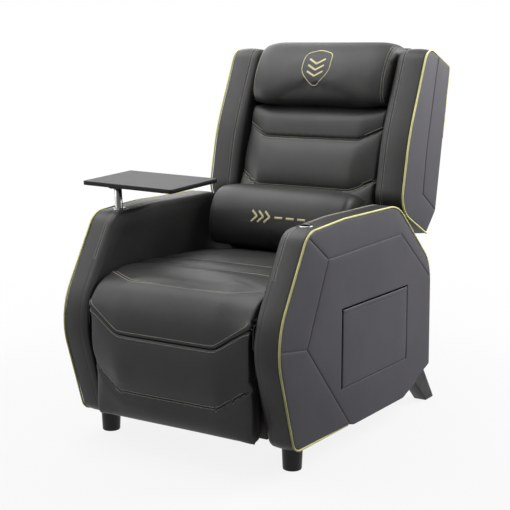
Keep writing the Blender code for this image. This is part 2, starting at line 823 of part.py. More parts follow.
spring_z = SEAT_RAIL_TOP + GAP + SPRING_RADIUS
spring_front = SEAT_RAIL_FRONT_Y - SPRING_END
spring_run = SEAT_RAIL_REAR_Y + SPRING_END - spring_front
for i in range(SPRING_COUNT):
    x = (i - (SPRING_COUNT - 1) / 2) * SPRING_PITCH
    bends = [
        (
            x + SPRING_WAVE * (-1) ** k,
            spring_front + spring_run * (k + end) / SPRING_BENDS,
            spring_z,
        )
        for k in range(SPRING_BENDS)
        for end in SPRING_BEND_SHARES
    ]
    wire(f"seat_spring_{i + 1}", bends, SPRING_RADIUS, "zinc_steel")

seat_base = spring_z + SPRING_RADIUS + GAP
cushion(
    "seat_cushion",
    rows_in_box(SEAT_ROW_SHARES, SEAT_FRONT, seat_base, SEAT_LENGTH, SEAT_THICKNESS),
    PAD_HALF_WIDTH,
    "black_leather",
    recliner,
)

# Footrest: board, pad and the two brackets that turn on the footrest pins
footrest_board_ends = (FOOTREST_BOARD_LOW, FOOTREST_BOARD_TOP)
board_half = LEVER_X - GAP
add_part(
    "footrest_board",
    leaning_board(*footrest_board_ends, FOOTREST_BOARD_THICKNESS, -board_half, board_half),
    "plywood",
    footrest_axis,
)
footrest_rows = rows_in_box(
    FOOTREST_ROW_SHARES, FOOTREST_FRONT, FOOTREST_BASE, FOOTREST_DEPTH, FOOTREST_RISE
)
for height in (FOOTREST_BOARD_LOW[1], FOOTREST_BOARD_TOP[1]):
    point = along(*footrest_board_ends, height, GAP)
    footrest_rows.append((point, point))
cushion("footrest_pad", footrest_rows, PAD_HALF_WIDTH, "black_leather", footrest_axis)

stud = (FOOTREST_PIVOT[0] + CRANK_Y, FOOTREST_PIVOT[1] + CRANK_Z)
bracket_foot = along(
    *footrest_board_ends,
    FOOTREST_BOARD_LOW[1] + (FOOTREST_BOARD_TOP[1] - FOOTREST_BOARD_LOW[1]) * BRACKET_FOOT_SHARE,
    0.0,
)
bracket_corners = [
    (bracket_foot[0], bracket_foot[1], BRACKET_ROUND),
    (FOOTREST_PIVOT[0] - EYE_RADIUS, FOOTREST_PIVOT[1] - EYE_RADIUS, BRACKET_ROUND),
    (FOOTREST_PIVOT[0] - EYE_RADIUS, FOOTREST_PIVOT[1] + EYE_RADIUS, EYE_RADIUS),
    (FOOTREST_PIVOT[0] + EYE_RADIUS, FOOTREST_PIVOT[1] + EYE_RADIUS, BRACKET_ROUND),
    (stud[0] + EYE_RADIUS, stud[1] + EYE_RADIUS, EYE_RADIUS),
    (stud[0] + EYE_RADIUS, stud[1] - EYE_RADIUS, EYE_RADIUS),
    (bracket_foot[0] + FOOTREST_BOARD_THICKNESS, bracket_foot[1], BRACKET_ROUND),
]
for side, hand in SIDES:
    bracket = add_part(
        f"footrest_bracket_{hand}",
        outline_mesh(
            rounded(bracket_corners, LINK_ARC_STEP), *ordered(side, LEVER_X, LEVER_X + STEEL)
        ),
        "zinc_steel",
        footrest_axis,
    )
    span = ordered(side, LEVER_X - OVERRUN, LEVER_X + STEEL + OVERRUN)
    cut(bracket, cylinder_x(hole_radius, *span, FOOTREST_PIVOT))
    fuse(bracket, cylinder_x(STUD_RADIUS, *ordered(side, COUPLER_X, LEVER_X + STEEL / 2), stud))

# Footrest drive: a tube across the chair with a crank at each end, and a coupler to each bracket
stub_radius = PIN_RADIUS
tube_half = LEVER_X - GAP
tube_profile = [
    (0.0, plate_outer),
    (stub_radius, plate_outer),
    (stub_radius, tube_half),
    (TUBE_RADIUS, tube_half),
    (TUBE_RADIUS, -tube_half),
    (stub_radius, -tube_half),
    (stub_radius, -plate_outer),
    (0.0, -plate_outer),
]
across = Matrix.Translation((0.0, *DRIVE_PIVOT)) @ Matrix.Rotation(math.pi / 2, 4, "Y")
turned("torque_tube", tube_profile, "black_steel", across, drive_axis, PIN_FLATS)

link_run = Vector((CRANK_Y, CRANK_Z))
coupler_run = Vector(stud) - Vector(crank_end)


def link_outline(start, run, radius):
    """A link's outline: a straight bar with a full round at each end."""
    ahead = run.normalized() * radius
    aside = Vector((-ahead.y, ahead.x))
    first, last = Vector(start), Vector(start) + run
    square = [
        first - ahead + aside,
        last + ahead + aside,
        last + ahead - aside,
        first - ahead - aside,
    ]
    return rounded([(*corner, radius) for corner in square], LINK_ARC_STEP)


for side, hand in SIDES:
    crank = add_part(
        f"crank_{hand}",
        outline_mesh(
            link_outline(DRIVE_PIVOT, link_run, EYE_RADIUS),
            *ordered(side, LEVER_X, LEVER_X + STEEL),
        ),
        "zinc_steel",
        drive_axis,
    )
    span = ordered(side, LEVER_X - OVERRUN, LEVER_X + STEEL + OVERRUN)
    cut(crank, cylinder_x(hole_radius, *span, DRIVE_PIVOT))
    fuse(crank, cylinder_x(STUD_RADIUS, *ordered(side, COUPLER_X, LEVER_X + STEEL / 2), crank_end))
    coupler = add_part(
        f"coupler_{hand}",
        outline_mesh(
            link_outline(crank_end, coupler_run, EYE_RADIUS),
            *ordered(side, COUPLER_X, COUPLER_X + STEEL),
        ),
        "zinc_steel",
        coupler_axis,
    )
    span = ordered(side, COUPLER_X - OVERRUN, COUPLER_X + STEEL + OVERRUN)
    cut(
        coupler,
        cylinder_x(STUD_RADIUS + RUNNING_CLEARANCE, *span, crank_end),
        cylinder_x(STUD_RADIUS + OPEN_CLEARANCE, *span, stud),
    )

# Back: board, rails, rear panel, cushions, wings and the brackets that turn on the back pins
back_board_ends = (BACK_BOARD_LOW, BACK_BOARD_TOP)
add_part(
    "back_board",
    leaning_board(*back_board_ends, BACK_BOARD_THICKNESS, -BACK_HALF_WIDTH, BACK_HALF_WIDTH),
    "plywood",
    back_axis,
)
back_rows = rows_in_box(
    BACK_ROW_SHARES, BACK_PAD_FRONT, BACK_PAD_BASE, BACK_PAD_DEPTH, BACK_PAD_RISE
)
for height in (BACK_PAD_BASE + BACK_PAD_RISE, BACK_PAD_BASE + BACK_PAD_RISE / 2, BACK_PAD_BASE):
    point = along(*back_board_ends, height, GAP)
    back_rows.append((point, point))
cushion("back_cushion", back_rows, BACK_PAD_HALF_WIDTH, "black_leather", back_axis)

headrest_rows = rows_in_box(
    HEADREST_ROW_SHARES, HEADREST_FRONT, HEADREST_BASE, HEADREST_DEPTH, HEADREST_RISE
)
headrest_seat = BACK_PAD_BASE + BACK_PAD_RISE + HEADREST_SETBACK
for height in (BACK_BOARD_TOP[1], (BACK_BOARD_TOP[1] + headrest_seat) / 2, headrest_seat):
    point = along(*back_board_ends, height, GAP)
    headrest_rows.append((point, point))
cushion("headrest_cushion", headrest_rows, BACK_PAD_HALF_WIDTH, "black_leather", back_axis)

cushion(
    "lumbar_pillow",
    rows_in_box(LUMBAR_ROW_SHARES, LUMBAR_FRONT, LUMBAR_BASE, LUMBAR_DEPTH, LUMBAR_RISE),
    BACK_PAD_HALF_WIDTH,
    "black_leather",
    back_axis,
)

rear_corners = from_shares(
    REAR_PANEL_CORNER_SHARES, REAR_PANEL_FRONT, REAR_PANEL_BASE, REAR_PANEL_DEPTH, REAR_PANEL_RISE
)
add_part(
    "rear_panel",
    outline_mesh(rounded(rear_corners), -BACK_HALF_WIDTH, BACK_HALF_WIDTH),
    "side_leather",
    back_axis,
)

lean = Vector(BACK_BOARD_TOP) - Vector(BACK_BOARD_LOW)
behind = Vector((lean.y, -lean.x)).normalized()
uphill = lean.normalized()
for name, share, rail_depth in (
    ("back_rail_low", BACK_RAIL_LOW_SHARE, BACK_RAIL_LOW_DEPTH),
    ("back_rail_top", BACK_RAIL_TOP_SHARE, BACK_RAIL_TOP_DEPTH),
):
    near = Vector(BACK_BOARD_LOW) + lean * share + behind * (BACK_BOARD_THICKNESS + GAP)
    above = near + uphill * BACK_RAIL_HEIGHT
    rail_corners = [near, above, above + behind * rail_depth, near + behind * rail_depth]
    add_part(
        name,
        outline_mesh(rail_corners, -BACK_HALF_WIDTH, BACK_HALF_WIDTH),
        "hardwood",
        back_axis,
    )

# The wings ride above the falling rear ends of the arms
fall_front, fall_rear = Vector(arm_corners[4][:2]), Vector(arm_corners[5][:2])
fall = fall_rear - fall_front
arm_under_wing = fall_front.y + fall.y * (WING_FRONT - fall_front.x) / fall.x
wing_base = arm_under_wing + WING_CLEARANCE - WING_CORNER_SHARES[1][1] * WING_RISE
wing_box = (WING_FRONT, wing_base, WING_DEPTH, WING_RISE)
wing_corners = from_shares(WING_CORNER_SHARES, *wing_box)
wing_inner = BACK_HALF_WIDTH + GAP
wing_outer = wing_inner + WING_PAD_WIDTH
wing_panel_inner = wing_outer + GAP
for side, hand in SIDES:
    wing = add_part(
        f"wing_{hand}",
        outline_mesh(rounded(wing_corners), *ordered(side, wing_inner, wing_outer)),
        "black_leather",
        back_axis,
    )
    bevel(wing, WING_EDGE)
    add_part(
        f"wing_panel_{hand}",
        faceted_panel(
            inset(wing_corners, panel_inset),
            seam_points(WING_SEAM_SHARES, *wing_box),
            WING_FALL_CORNERS,
            side * wing_panel_inner,
            side * (wing_panel_inner + WING_PANEL_EDGE),
            side * (wing_panel_inner + WING_PANEL_THICKNESS),
        ),
        "side_leather",
        back_axis,
    )
    welt = rounded(inset(wing_corners, PIPING_INSET))
    rear_foot = max(i for i, point in enumerate(welt) if point.y > wing_base + WING_RISE / 2)
    route = welt[: rear_foot + 1]
    welt_x = side * (wing_panel_inner + PIPING_RADIUS)
    wire(
        f"wing_piping_{hand}",
        [(welt_x, *point) for point in route],
        PIPING_RADIUS,
        "piping",
        back_axis,
    )
    bracket_low = Vector(BACK_BOARD_LOW)
    bracket_rise = (wing_base - BACK_BOARD_LOW[1]) * BACK_BRACKET_RISE_SHARE
    bracket_top = bracket_low + lean * bracket_rise / lean.y
    bracket_round = min(BRACKET_ROUND, (bracket_top - bracket_low).length / 2)
    depth = behind * BACK_BOARD_THICKNESS
    back_bracket_corners = [
        (BACK_PIVOT[0] - EYE_RADIUS, BACK_PIVOT[1] - EYE_RADIUS, EYE_RADIUS),
        (BACK_PIVOT[0] - EYE_RADIUS, BACK_PIVOT[1] + EYE_RADIUS, EYE_RADIUS),
        (*bracket_top, bracket_round),
        (*(bracket_top + depth), bracket_round),
        (*(bracket_low + depth), bracket_round),
        (BACK_PIVOT[0] + EYE_RADIUS, BACK_PIVOT[1] - EYE_RADIUS, EYE_RADIUS),
    ]
    bracket = add_part(
        f"back_bracket_{hand}",
        outline_mesh(
            rounded(back_bracket_corners, LINK_ARC_STEP),
            *ordered(side, BACK_BRACKET_X, BACK_BRACKET_X + STEEL),
        ),
        "zinc_steel",
        back_axis,
    )
    span = ordered(side, BACK_BRACKET_X - OVERRUN, BACK_BRACKET_X + STEEL + OVERRUN)
    cut(bracket, cylinder_x(hole_radius, *span, BACK_PIVOT))

# Tray sockets in both arms, and the tray's post, flange and top
sleeve_radius = SOCKET_BORE + SOCKET_WALL
sleeve_profile = [
    (0.0, -SOCKET_DEPTH + SOCKET_FLOOR),
    (SOCKET_BORE, -SOCKET_DEPTH + SOCKET_FLOOR),
    (SOCKET_BORE, SOCKET_FLANGE + GAP),
    (SOCKET_FLANGE_RADIUS, SOCKET_FLANGE + GAP),
    (SOCKET_FLANGE_RADIUS, GAP),
    (sleeve_radius, GAP),
    (sleeve_radius, -SOCKET_DEPTH),
    (0.0, -SOCKET_DEPTH),
]
for side, hand in SIDES:
    turned(f"tray_socket_{hand}", sleeve_profile, "chrome", socket_frame(side), steps=SOCKET_FLATS)

tray_frame = socket_frame(TRAY_SIDE)
tray_axis = anchor("tray_axis", recliner, tray_frame.translation)
flange_base = TRAY_HEIGHT - TRAY_THICKNESS - GAP - TRAY_FLANGE_THICKNESS
post_profile = [
    (0.0, flange_base - GAP),
    (TRAY_POST_RADIUS, flange_base - GAP),
    (TRAY_POST_RADIUS, -SOCKET_DEPTH + SOCKET_FLOOR + GAP),
    (0.0, -SOCKET_DEPTH + SOCKET_FLOOR + GAP),
]
turned("tray_post", post_profile, "chrome", tray_frame, tray_axis, SOCKET_FLATS)
flange_profile = [
    (0.0, flange_base + TRAY_FLANGE_THICKNESS),
    (TRAY_FLANGE_RADIUS, flange_base + TRAY_FLANGE_THICKNESS),
    (TRAY_FLANGE_RADIUS, flange_base),
    (0.0, flange_base),
]
turned("tray_flange", flange_profile, "black_steel", tray_frame, tray_axis, SOCKET_FLATS)
top_data = box_mesh(
    (TRAY_REACH - TRAY_LENGTH, -TRAY_OVERHANG, TRAY_HEIGHT - TRAY_THICKNESS),
    (TRAY_REACH, TRAY_WIDTH - TRAY_OVERHANG, TRAY_HEIGHT),
)
tray_top = add_part(
    "tray_top",
    top_data,
    "tray_laminate",
    tray_axis,
    tray_frame @ Matrix.Rotation(TRAY_TURN, 4, "Z"),
)
bevel(tray_top, TRAY_CORNER)
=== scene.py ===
"""A one-seat gaming recliner in black synthetic leather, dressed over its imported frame.

Sections follow the chair as it is put together. Tables of points are in millimetres in the chair's
own frame: X to the sitter's left from the plane between the arms, Y towards the back, Z up.
"""

import json
import math

import bmesh
import bpy
import numpy as np
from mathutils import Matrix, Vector
from mathutils.bvhtree import BVHTree
from mathutils.kdtree import KDTree


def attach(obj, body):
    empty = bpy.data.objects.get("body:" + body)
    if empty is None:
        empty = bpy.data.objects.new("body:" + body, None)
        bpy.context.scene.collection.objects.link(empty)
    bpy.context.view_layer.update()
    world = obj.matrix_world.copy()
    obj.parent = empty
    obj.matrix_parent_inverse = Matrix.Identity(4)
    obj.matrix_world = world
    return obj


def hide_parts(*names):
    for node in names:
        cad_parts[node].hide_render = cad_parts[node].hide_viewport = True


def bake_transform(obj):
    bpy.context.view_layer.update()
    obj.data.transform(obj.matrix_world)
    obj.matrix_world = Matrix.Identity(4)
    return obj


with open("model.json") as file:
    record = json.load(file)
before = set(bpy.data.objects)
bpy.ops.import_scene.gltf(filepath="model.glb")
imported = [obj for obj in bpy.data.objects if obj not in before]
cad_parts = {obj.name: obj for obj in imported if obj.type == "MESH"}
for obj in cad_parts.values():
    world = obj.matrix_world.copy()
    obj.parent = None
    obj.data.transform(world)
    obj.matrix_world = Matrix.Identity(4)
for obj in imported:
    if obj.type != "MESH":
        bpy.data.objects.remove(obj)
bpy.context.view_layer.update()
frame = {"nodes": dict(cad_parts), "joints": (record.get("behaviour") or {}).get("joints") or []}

# Camera: the photograph's view, from the front and the sitter's left, about a metre up. The chair's
# own frame is found from the back's hinge, which lies 335 mm behind the frame's origin, 385 mm up.
HINGE_PLACE = (0.0, 0.335, 0.385)
recline = next(joint for joint in frame["joints"] if joint["name"] == "back_recline")
chair_origin = np.array(recline["pos_m"]) - HINGE_PLACE


def in_metres(points):
    """World places in metres of chair points in millimetres: point / 1000 + the frame's origin."""
    return np.asarray(points, float) / 1000 + chair_origin


VIEW_TURN = math.radians(33.0959)
VIEW_DROP = math.radians(9.91018)
CAMERA_PLACE = (1855.0, -2780.0, 1084.0)
camera_data = bpy.data.cameras.new("camera")
camera_data.sensor_width = 36.0
camera_data.lens = 85.46
camera = bpy.data.objects.new("camera", camera_data)
bpy.context.scene.collection.objects.link(camera)
camera.location = in_metres(CAMERA_PLACE)
level = math.cos(VIEW_DROP)
looking = Vector((-math.sin(VIEW_TURN) * level, math.cos(VIEW_TURN) * level, -math.sin(VIEW_DROP)))
camera.rotation_euler = looking.to_track_quat("-Z", "Y").to_euler()
bpy.context.scene.camera = camera
bpy.context.scene.view_settings.view_transform = "Standard"


# Studio: a white sweep under the chair, a white surround and six soft lights, the strongest behind
# on the sitter's left. The sweep takes the chair's shadow and glows for the camera and in mirrors,
# a little less within a few metres of the chair.
def node_material(name):
    """An empty node material with its tree, its output node and a Principled shader."""
    material = bpy.data.materials.new(name)
    material.use_nodes = True
    tree = material.node_tree
    shader = tree.nodes["Principled BSDF"]
    return material, tree, shader


def wire_up(tree, *links):
    """Links (node, socket) to (node, socket), in pairs."""
    for (a, out), (b, into) in links:
        tree.links.new(a.outputs[out], b.inputs[into])


def add_node(tree, kind, **values):
    """A shader node; values are its properties, or its inputs where the name is one."""
    node = tree.nodes.new(f"ShaderNode{kind}")
    for key, value in values.items():
        if hasattr(node, key):
            setattr(node, key, value)
        else:
            node.inputs[key.replace("_", " ")].default_value = value
    return node


def shown_rays(tree):
    """A node that is 1 for rays that show what they meet: the camera's, mirrored and let through."""
    path = add_node(tree, "LightPath")
    seen = add_node(tree, "Math", operation="MAXIMUM")
    through = add_node(tree, "Math", operation="MAXIMUM")
    wire_up(
        tree,
        ((path, "Is Camera Ray"), (seen, 0)),
        ((path, "Is Glossy Ray"), (seen, 1)),
        ((seen, 0), (through, 0)),
        ((path, "Is Transmission Ray"), (through, 1)),
    )
    return through


WHITE = (1.0, 1.0, 1.0, 1.0)
FLOOR_HALF = 30.0
floor_mesh = bpy.data.meshes.new("floor")
corners = [(x * FLOOR_HALF, y * FLOOR_HALF, 0.0) for x, y in ((-1, -1), (1, -1), (1, 1), (-1, 1))]
floor_mesh.from_pydata(corners, [], [(0, 1, 2, 3)])
floor = bpy.data.objects.new("floor", floor_mesh)
bpy.context.scene.collection.objects.link(floor)
floor_material, tree, shader = node_material("sweep")
tree.nodes.remove(shader)
diffuse = add_node(tree, "BsdfDiffuse", Color=(0.08, 0.08, 0.08, 1.0))
glow = add_node(tree, "Emission", Color=WHITE)
dark = add_node(tree, "Emission", Color=(0.0, 0.0, 0.0, 1.0), Strength=0.0)
spot = add_node(tree, "TexCoord")
reach = add_node(tree, "VectorMath", operation="LENGTH")
fade = add_node(tree, "MapRange", From_Min=1.0, From_Max=3.2, To_Min=0.87, To_Max=1.0)
lift = add_node(tree, "MixShader")
total = add_node(tree, "AddShader")
wire_up(
    tree,
    ((spot, "Object"), (reach, 0)),
    ((reach, "Value"), (fade, "Value")),
    ((fade, "Result"), (glow, "Strength")),
    ((shown_rays(tree), 0), (lift, 0)),
    ((dark, 0), (lift, 1)),
    ((glow, 0), (lift, 2)),
    ((diffuse, 0), (total, 0)),
    ((lift, 0), (total, 1)),
    ((total, 0), (tree.nodes["Material Output"], "Surface")),
)
floor_mesh.materials.append(floor_material)

world = bpy.data.worlds.new("studio")
world.use_nodes = True
bpy.context.scene.world = world
tree = world.node_tree
tone = add_node(tree, "Mix", data_type="RGBA")
tone.inputs["A"].default_value = (0.13, 0.13, 0.133, 1.0)
tone.inputs["B"].default_value = WHITE
wire_up(
    tree,
    ((shown_rays(tree), 0), (tone, "Factor")),
    ((tone, "Result"), (tree.nodes["Background"], "Color")),
)


def soft_light(name, place, aim, size, power):
    """A square area light of a size in metres, from a place towards an aim, in chair millimetres."""
    data = bpy.data.lights.new(name, "AREA")
    data.shape = "SQUARE"
    data.size = size
    data.energy = power
    light = bpy.data.objects.new(name, data)
    bpy.context.scene.collection.objects.link(light)
    light.location = in_metres(place)
    run = Vector(in_metres(aim)) - light.location
    light.rotation_euler = run.to_track_quat("-Z", "Y").to_euler()


CHAIR_MIDDLE = (0, 50, 500)
soft_light("left_light", (1320, 1320, 1665), CHAIR_MIDDLE, 1.5, 44.0)
soft_light("right_light", (-1260, 0, 2300), CHAIR_MIDDLE, 1.5, 22.0)
soft_light("top_light", (-190, -330, 2665), CHAIR_MIDDLE, 1.5, 20.0)
soft_light("front_light", (-1320, -1320, 1665), CHAIR_MIDDLE, 1.5, 13.0)
soft_light("rear_light", (-1320, 1320, 1665), CHAIR_MIDDLE, 1.2, 9.0)
soft_light("low_light", (-2300, -300, 450), (-300, -300, 350), 1.0, 10.0)


# Leather: black synthetic hide with a fine pebble grain, laid over foam, on every soft piece. Its
# grain's Height is pebble * 0.55 + crease * 0.45, where the pebbles are smoothed distances to the
# middles of Voronoi cells. Tone is a slow mottling, and Rub is where the hide is polished.
grain_group = bpy.data.node_groups.new("hide_grain", "ShaderNodeTree")
grain_group.interface.new_socket("Pebbles per metre", in_out="INPUT", socket_type="NodeSocketFloat")
for label in ("Height", "Tone", "Rub"):
    grain_group.interface.new_socket(label, in_out="OUTPUT", socket_type="NodeSocketFloat")
grain_in = grain_group.nodes.new("NodeGroupInput")
grain_out = grain_group.nodes.new("NodeGroupOutput")
place = add_node(grain_group, "TexCoord")
pebble = add_node(grain_group, "TexVoronoi", feature="SMOOTH_F1")
pebble.inputs["Smoothness"].default_value = 0.6
crease = add_node(grain_group, "TexNoise", Scale=210.0, Detail=3.0, Roughness=0.6)
mottle = add_node(grain_group, "TexNoise", Scale=9.0, Detail=3.0, Roughness=0.55)
rub = add_node(grain_group, "TexNoise", Scale=3.2, Detail=2.0, Roughness=0.5)
height = add_node(grain_group, "Mix", data_type="FLOAT", Factor=0.45)
wire_up(grain_group, *(((place, "Object"), (node, "Vector")) for node in (pebble, crease, mottle, rub)))
wire_up(
    grain_group,
    ((grain_in, "Pebbles per metre"), (pebble, "Scale")),
    ((pebble, "Distance"), (height, "A")),
    ((crease, "Fac"), (height, "B")),
    ((height, "Result"), (grain_out, "Height")),
    ((mottle, "Fac"), (grain_out, "Tone")),
    ((rub, "Fac"), (grain_out, "Rub")),
)


def colour_ramp(tree, *stops):
    """A ramp node with stops (place, grey or colour)."""
    ramp = tree.nodes.new("ShaderNodeValToRGB")
    elements = ramp.color_ramp.elements
    while len(elements) < len(stops):
        elements.new(0.5)
    for element, (at, tone) in zip(elements, stops):
        element.position = at
        element.color = (*tone, 1.0) if hasattr(tone, "__len__") else (tone, tone, tone, 1.0)
    return ramp


def hide(name, dark_tone, light_tone, gloss, dull, pebbles, relief):
    """Leather: colour runs from dark to light with the mottling, roughness from gloss to dull with
    the rubbed patches, and the grain's height drives a bump of the given relief in metres."""
    material, tree, shader = node_material(name)
    grain = tree.nodes.new("ShaderNodeGroup")
    grain.node_tree = grain_group
    grain.inputs["Pebbles per metre"].default_value = pebbles
    colour = colour_ramp(tree, (0.32, dark_tone), (0.70, light_tone))
    sheen = colour_ramp(tree, (0.30, gloss), (0.72, dull))
    bump = add_node(tree, "Bump", Strength=0.75, Distance=relief)
    wire_up(
        tree,
        ((grain, "Tone"), (colour, 0)),
        ((grain, "Rub"), (sheen, 0)),
        ((grain, "Height"), (bump, "Height")),
        ((colour, 0), (shader, "Base Color")),
        ((sheen, 0), (shader, "Roughness")),
        ((bump, 0), (shader, "Normal")),
    )
    shader.inputs["Specular IOR Level"].default_value = 0.32
    return material


black_hide = hide("black_leather", (0.026, 0.026, 0.025), (0.036, 0.036, 0.034), 0.37, 0.47, 640.0, 0.0006)


# Seat: one foam pad on the springs, covered in black leather, with two channels sewn across its
# top. Its front edge is seamed to the bolster and it rides on the chair's base.
def smooth_path(points, shares):
    """Points along the Catmull-Rom curve through the given ones: in stretch k, at shares[k]."""
    points = np.asarray(points, float)
    ends = np.vstack([2 * points[0] - points[1], points, 2 * points[-1] - points[-2]])
    line = []
    for k, share in enumerate(shares):
        a, b, c, d = ends[k : k + 4]
        t = share[:, None]
        square = 2 * a - 5 * b + 4 * c - d
        cube = 3 * b - a - 3 * c + d
        line.append(0.5 * (2 * b + (c - a) * t + square * t**2 + cube * t**3))
    return np.vstack([*line, points[-1:]])


def along_evenly(line, count):
    """The line's points again, count of them at equal distances."""
    run = np.concatenate([[0.0], np.cumsum(np.linalg.norm(np.diff(line, axis=0), axis=1))])
    at = np.linspace(0.0, run[-1], count)
    return np.stack([np.interp(at, run, line[:, k]) for k in range(line.shape[1])], axis=1)


SEAM_STEP = 1.4
STEP_GROWTH = 0.35


def stations(length, step, seam_before, seam_after):
    """Shares of a stretch, a step apart but as close as 1.4 mm beside a seam."""
    marks = [0.0]
    while marks[-1] < length:
        near = min(marks[-1] if seam_before else length, length - marks[-1] if seam_after else length)
        marks.append(marks[-1] + min(step, SEAM_STEP + STEP_GROWTH * near))
    return np.array(marks[:-1]) / marks[-1]


def quads(rows, columns, wrap_rows=False, wrap_columns=False):
    """Quads of a grid whose points are numbered row by row."""
    r = np.arange(rows if wrap_rows else rows - 1)[:, None]
    c = np.arange(columns if wrap_columns else columns - 1)[None, :]
    r_next, c_next = (r + 1) % rows, (c + 1) % columns
    corners = [r * columns + c, r * columns + c_next, r_next * columns + c_next, r_next * columns + c]
    return np.stack([corner.ravel() for corner in corners], axis=1)


def capped(rows, columns):
    """Quads of a tube's grid, with one flat face at each end."""
    first, last = range(columns), range((rows - 1) * columns, rows * columns)
    return [*quads(rows, columns, wrap_columns=True).tolist(), list(first), list(last)]


def solid_object(name, points, faces, material, weld=0.02):
    """An object at the origin from points in chair millimetres, welded, with its faces outwards."""
    data = bpy.data.meshes.new(name)
    data.from_pydata(in_metres(points).tolist(), [], [list(face) for face in faces])
    shape = bmesh.new()
    shape.from_mesh(data)
    bmesh.ops.remove_doubles(shape, verts=shape.verts, dist=weld / 1000)
    bmesh.ops.dissolve_degenerate(shape, edges=shape.edges, dist=weld / 4000)
    bmesh.ops.recalc_face_normals(shape, faces=shape.faces)
    shape.to_mesh(data)
    shape.free()
    data.shade_smooth()
    data.materials.append(material)
    thing = bpy.data.objects.new(name, data)
    bpy.context.scene.collection.objects.link(thing)
    return thing


def pad(name, material, front, back, seams, half_width, knee, edge, step, softness=0.08):
    """A pad and its seam lines, from (middle, side) points of its front and of its back.

    Ring: the front's curve one way and the back's the other. Across the chair the ring keeps its
    middle shape up to the knee and then runs to its side shape. Over the last edge millimetres
    it is drawn in by edge * (1 - cos a) while X runs by edge * sin a, and then it closes on the
    line midway between front and back.
    """
    middle, side = (np.array([pair[k] for pair in front], float) for k in (0, 1))
    lengths = np.linalg.norm(np.diff(middle, axis=0), axis=1)
    shares = [stations(length, step, k in seams, k + 1 in seams) for k, length in enumerate(lengths)]
    rows = np.concatenate([[0], np.cumsum([len(share) for share in shares])])
    ring = []
    for k, outer in enumerate((middle, side)):
        shown = smooth_path(outer, shares)
        hidden = np.array([pair[k] for pair in back], float)
        even = [np.linspace(0, 1, 8, endpoint=False)] * (len(hidden) - 1)
        hidden = along_evenly(smooth_path(hidden, even), len(shown))
        ring.append(np.vstack([shown, hidden[-2:0:-1]]))
    flat_half = half_width - edge
    across = np.linspace(-flat_half, flat_half, 2 * round(flat_half / step) + 1)
    turns = np.radians([18, 36, 54, 72, 90])
    rounded = flat_half + edge * np.sin(turns)
    xs = np.concatenate([-rounded[::-1], across, rounded])
    pull = edge * (1 - np.cos(np.concatenate([turns[::-1], 0 * across, turns])))
    over = (np.abs(xs) - knee) / (half_width - knee)
    run = ((over + np.sqrt(over**2 + softness**2)) / 2)[:, None, None]
    rings = ring[0][None] + (ring[1] - ring[0])[None] * run
    following = np.roll(rings, -1, axis=1)
    ahead = following - np.roll(rings, 1, axis=1)
    normal = np.stack([ahead[..., 1], -ahead[..., 0]], axis=-1)
    normal /= np.linalg.norm(normal, axis=-1, keepdims=True)
    area = np.sum(rings[..., 0] * following[..., 1] - rings[..., 1] * following[..., 0], axis=1)
    normal *= np.sign(area)[:, None, None]
    count = rings.shape[1]
    facing = (-np.arange(count)) % count
    half = np.linalg.norm(rings - (rings + rings[:, facing]) / 2, axis=-1)
    draw = np.minimum(1.0, half / (edge + 1e-6) * 0.8)
    rings = rings - normal * (pull[:, None] * draw)[..., None]
    spine = (rings + rings[:, facing]) / 2
    closing = [0.75, 0.45, 0.18, 0.0]
    first = [spine[0] + (rings[0] - spine[0]) * share for share in closing[::-1]]
    last = [spine[-1] + (rings[-1] - spine[-1]) * share for share in closing]
    rings = np.concatenate([first, rings, last])
    xs = np.pad(xs, len(closing), mode="edge")
    points = np.concatenate([np.repeat(xs[:, None, None], count, axis=1), rings], axis=-1)
    lines = [points[len(closing) : -len(closing), rows[k]] for k in seams]
    faces = quads(len(xs), count, wrap_columns=True)
    return solid_object(name, points.reshape(-1, 3), faces, material), lines


def nearest_on(lines, points):
    """Distance in millimetres from each point to the seam lines, and its place along them."""
    dense, runs = [], []
    for line in lines:
        length = np.linalg.norm(np.diff(line, axis=0), axis=1).sum()
        dense.append(along_evenly(line, max(2, round(length / 0.8))))
        runs.append(np.linspace(0.0, length, len(dense[-1])))
    dense, runs = np.vstack(dense), np.concatenate(runs)
    tree = KDTree(len(dense))
    for i, point in enumerate(dense):
        tree.insert(point, i)
    tree.balance()
    found = [tree.find(point) for point in points]
    return np.array([hit[2] for hit in found]), runs[[hit[1] for hit in found]]


def mesh_points(thing):
    """The mesh's points in chair millimetres."""
    co = np.empty(len(thing.data.vertices) * 3)
    thing.data.vertices.foreach_get("co", co)
    return (co.reshape(-1, 3) - chair_origin) * 1000


def mesh_normals(thing):
    """The mesh's point normals."""
    normal = np.empty(len(thing.data.vertices) * 3, np.float32)
    thing.data.vertices.foreach_get("normal", normal)
    return normal.reshape(-1, 3).astype(float)


def move_points(thing, points):
    """Puts points in chair millimetres back into the mesh."""
    thing.data.vertices.foreach_set("co", in_metres(points).ravel())
    thing.data.update()


def apply_modifiers(thing):
    """Replaces the object's mesh by what its modifiers make of it now."""
    depsgraph = bpy.context.evaluated_depsgraph_get()
    done = bpy.data.meshes.new_from_object(thing.evaluated_get(depsgraph))
    thing.modifiers.clear()
    thing.data = done


AIR_PRESSURE = 4.0
FILL_FRAMES = 20
STARTS_SMALLER = 0.55


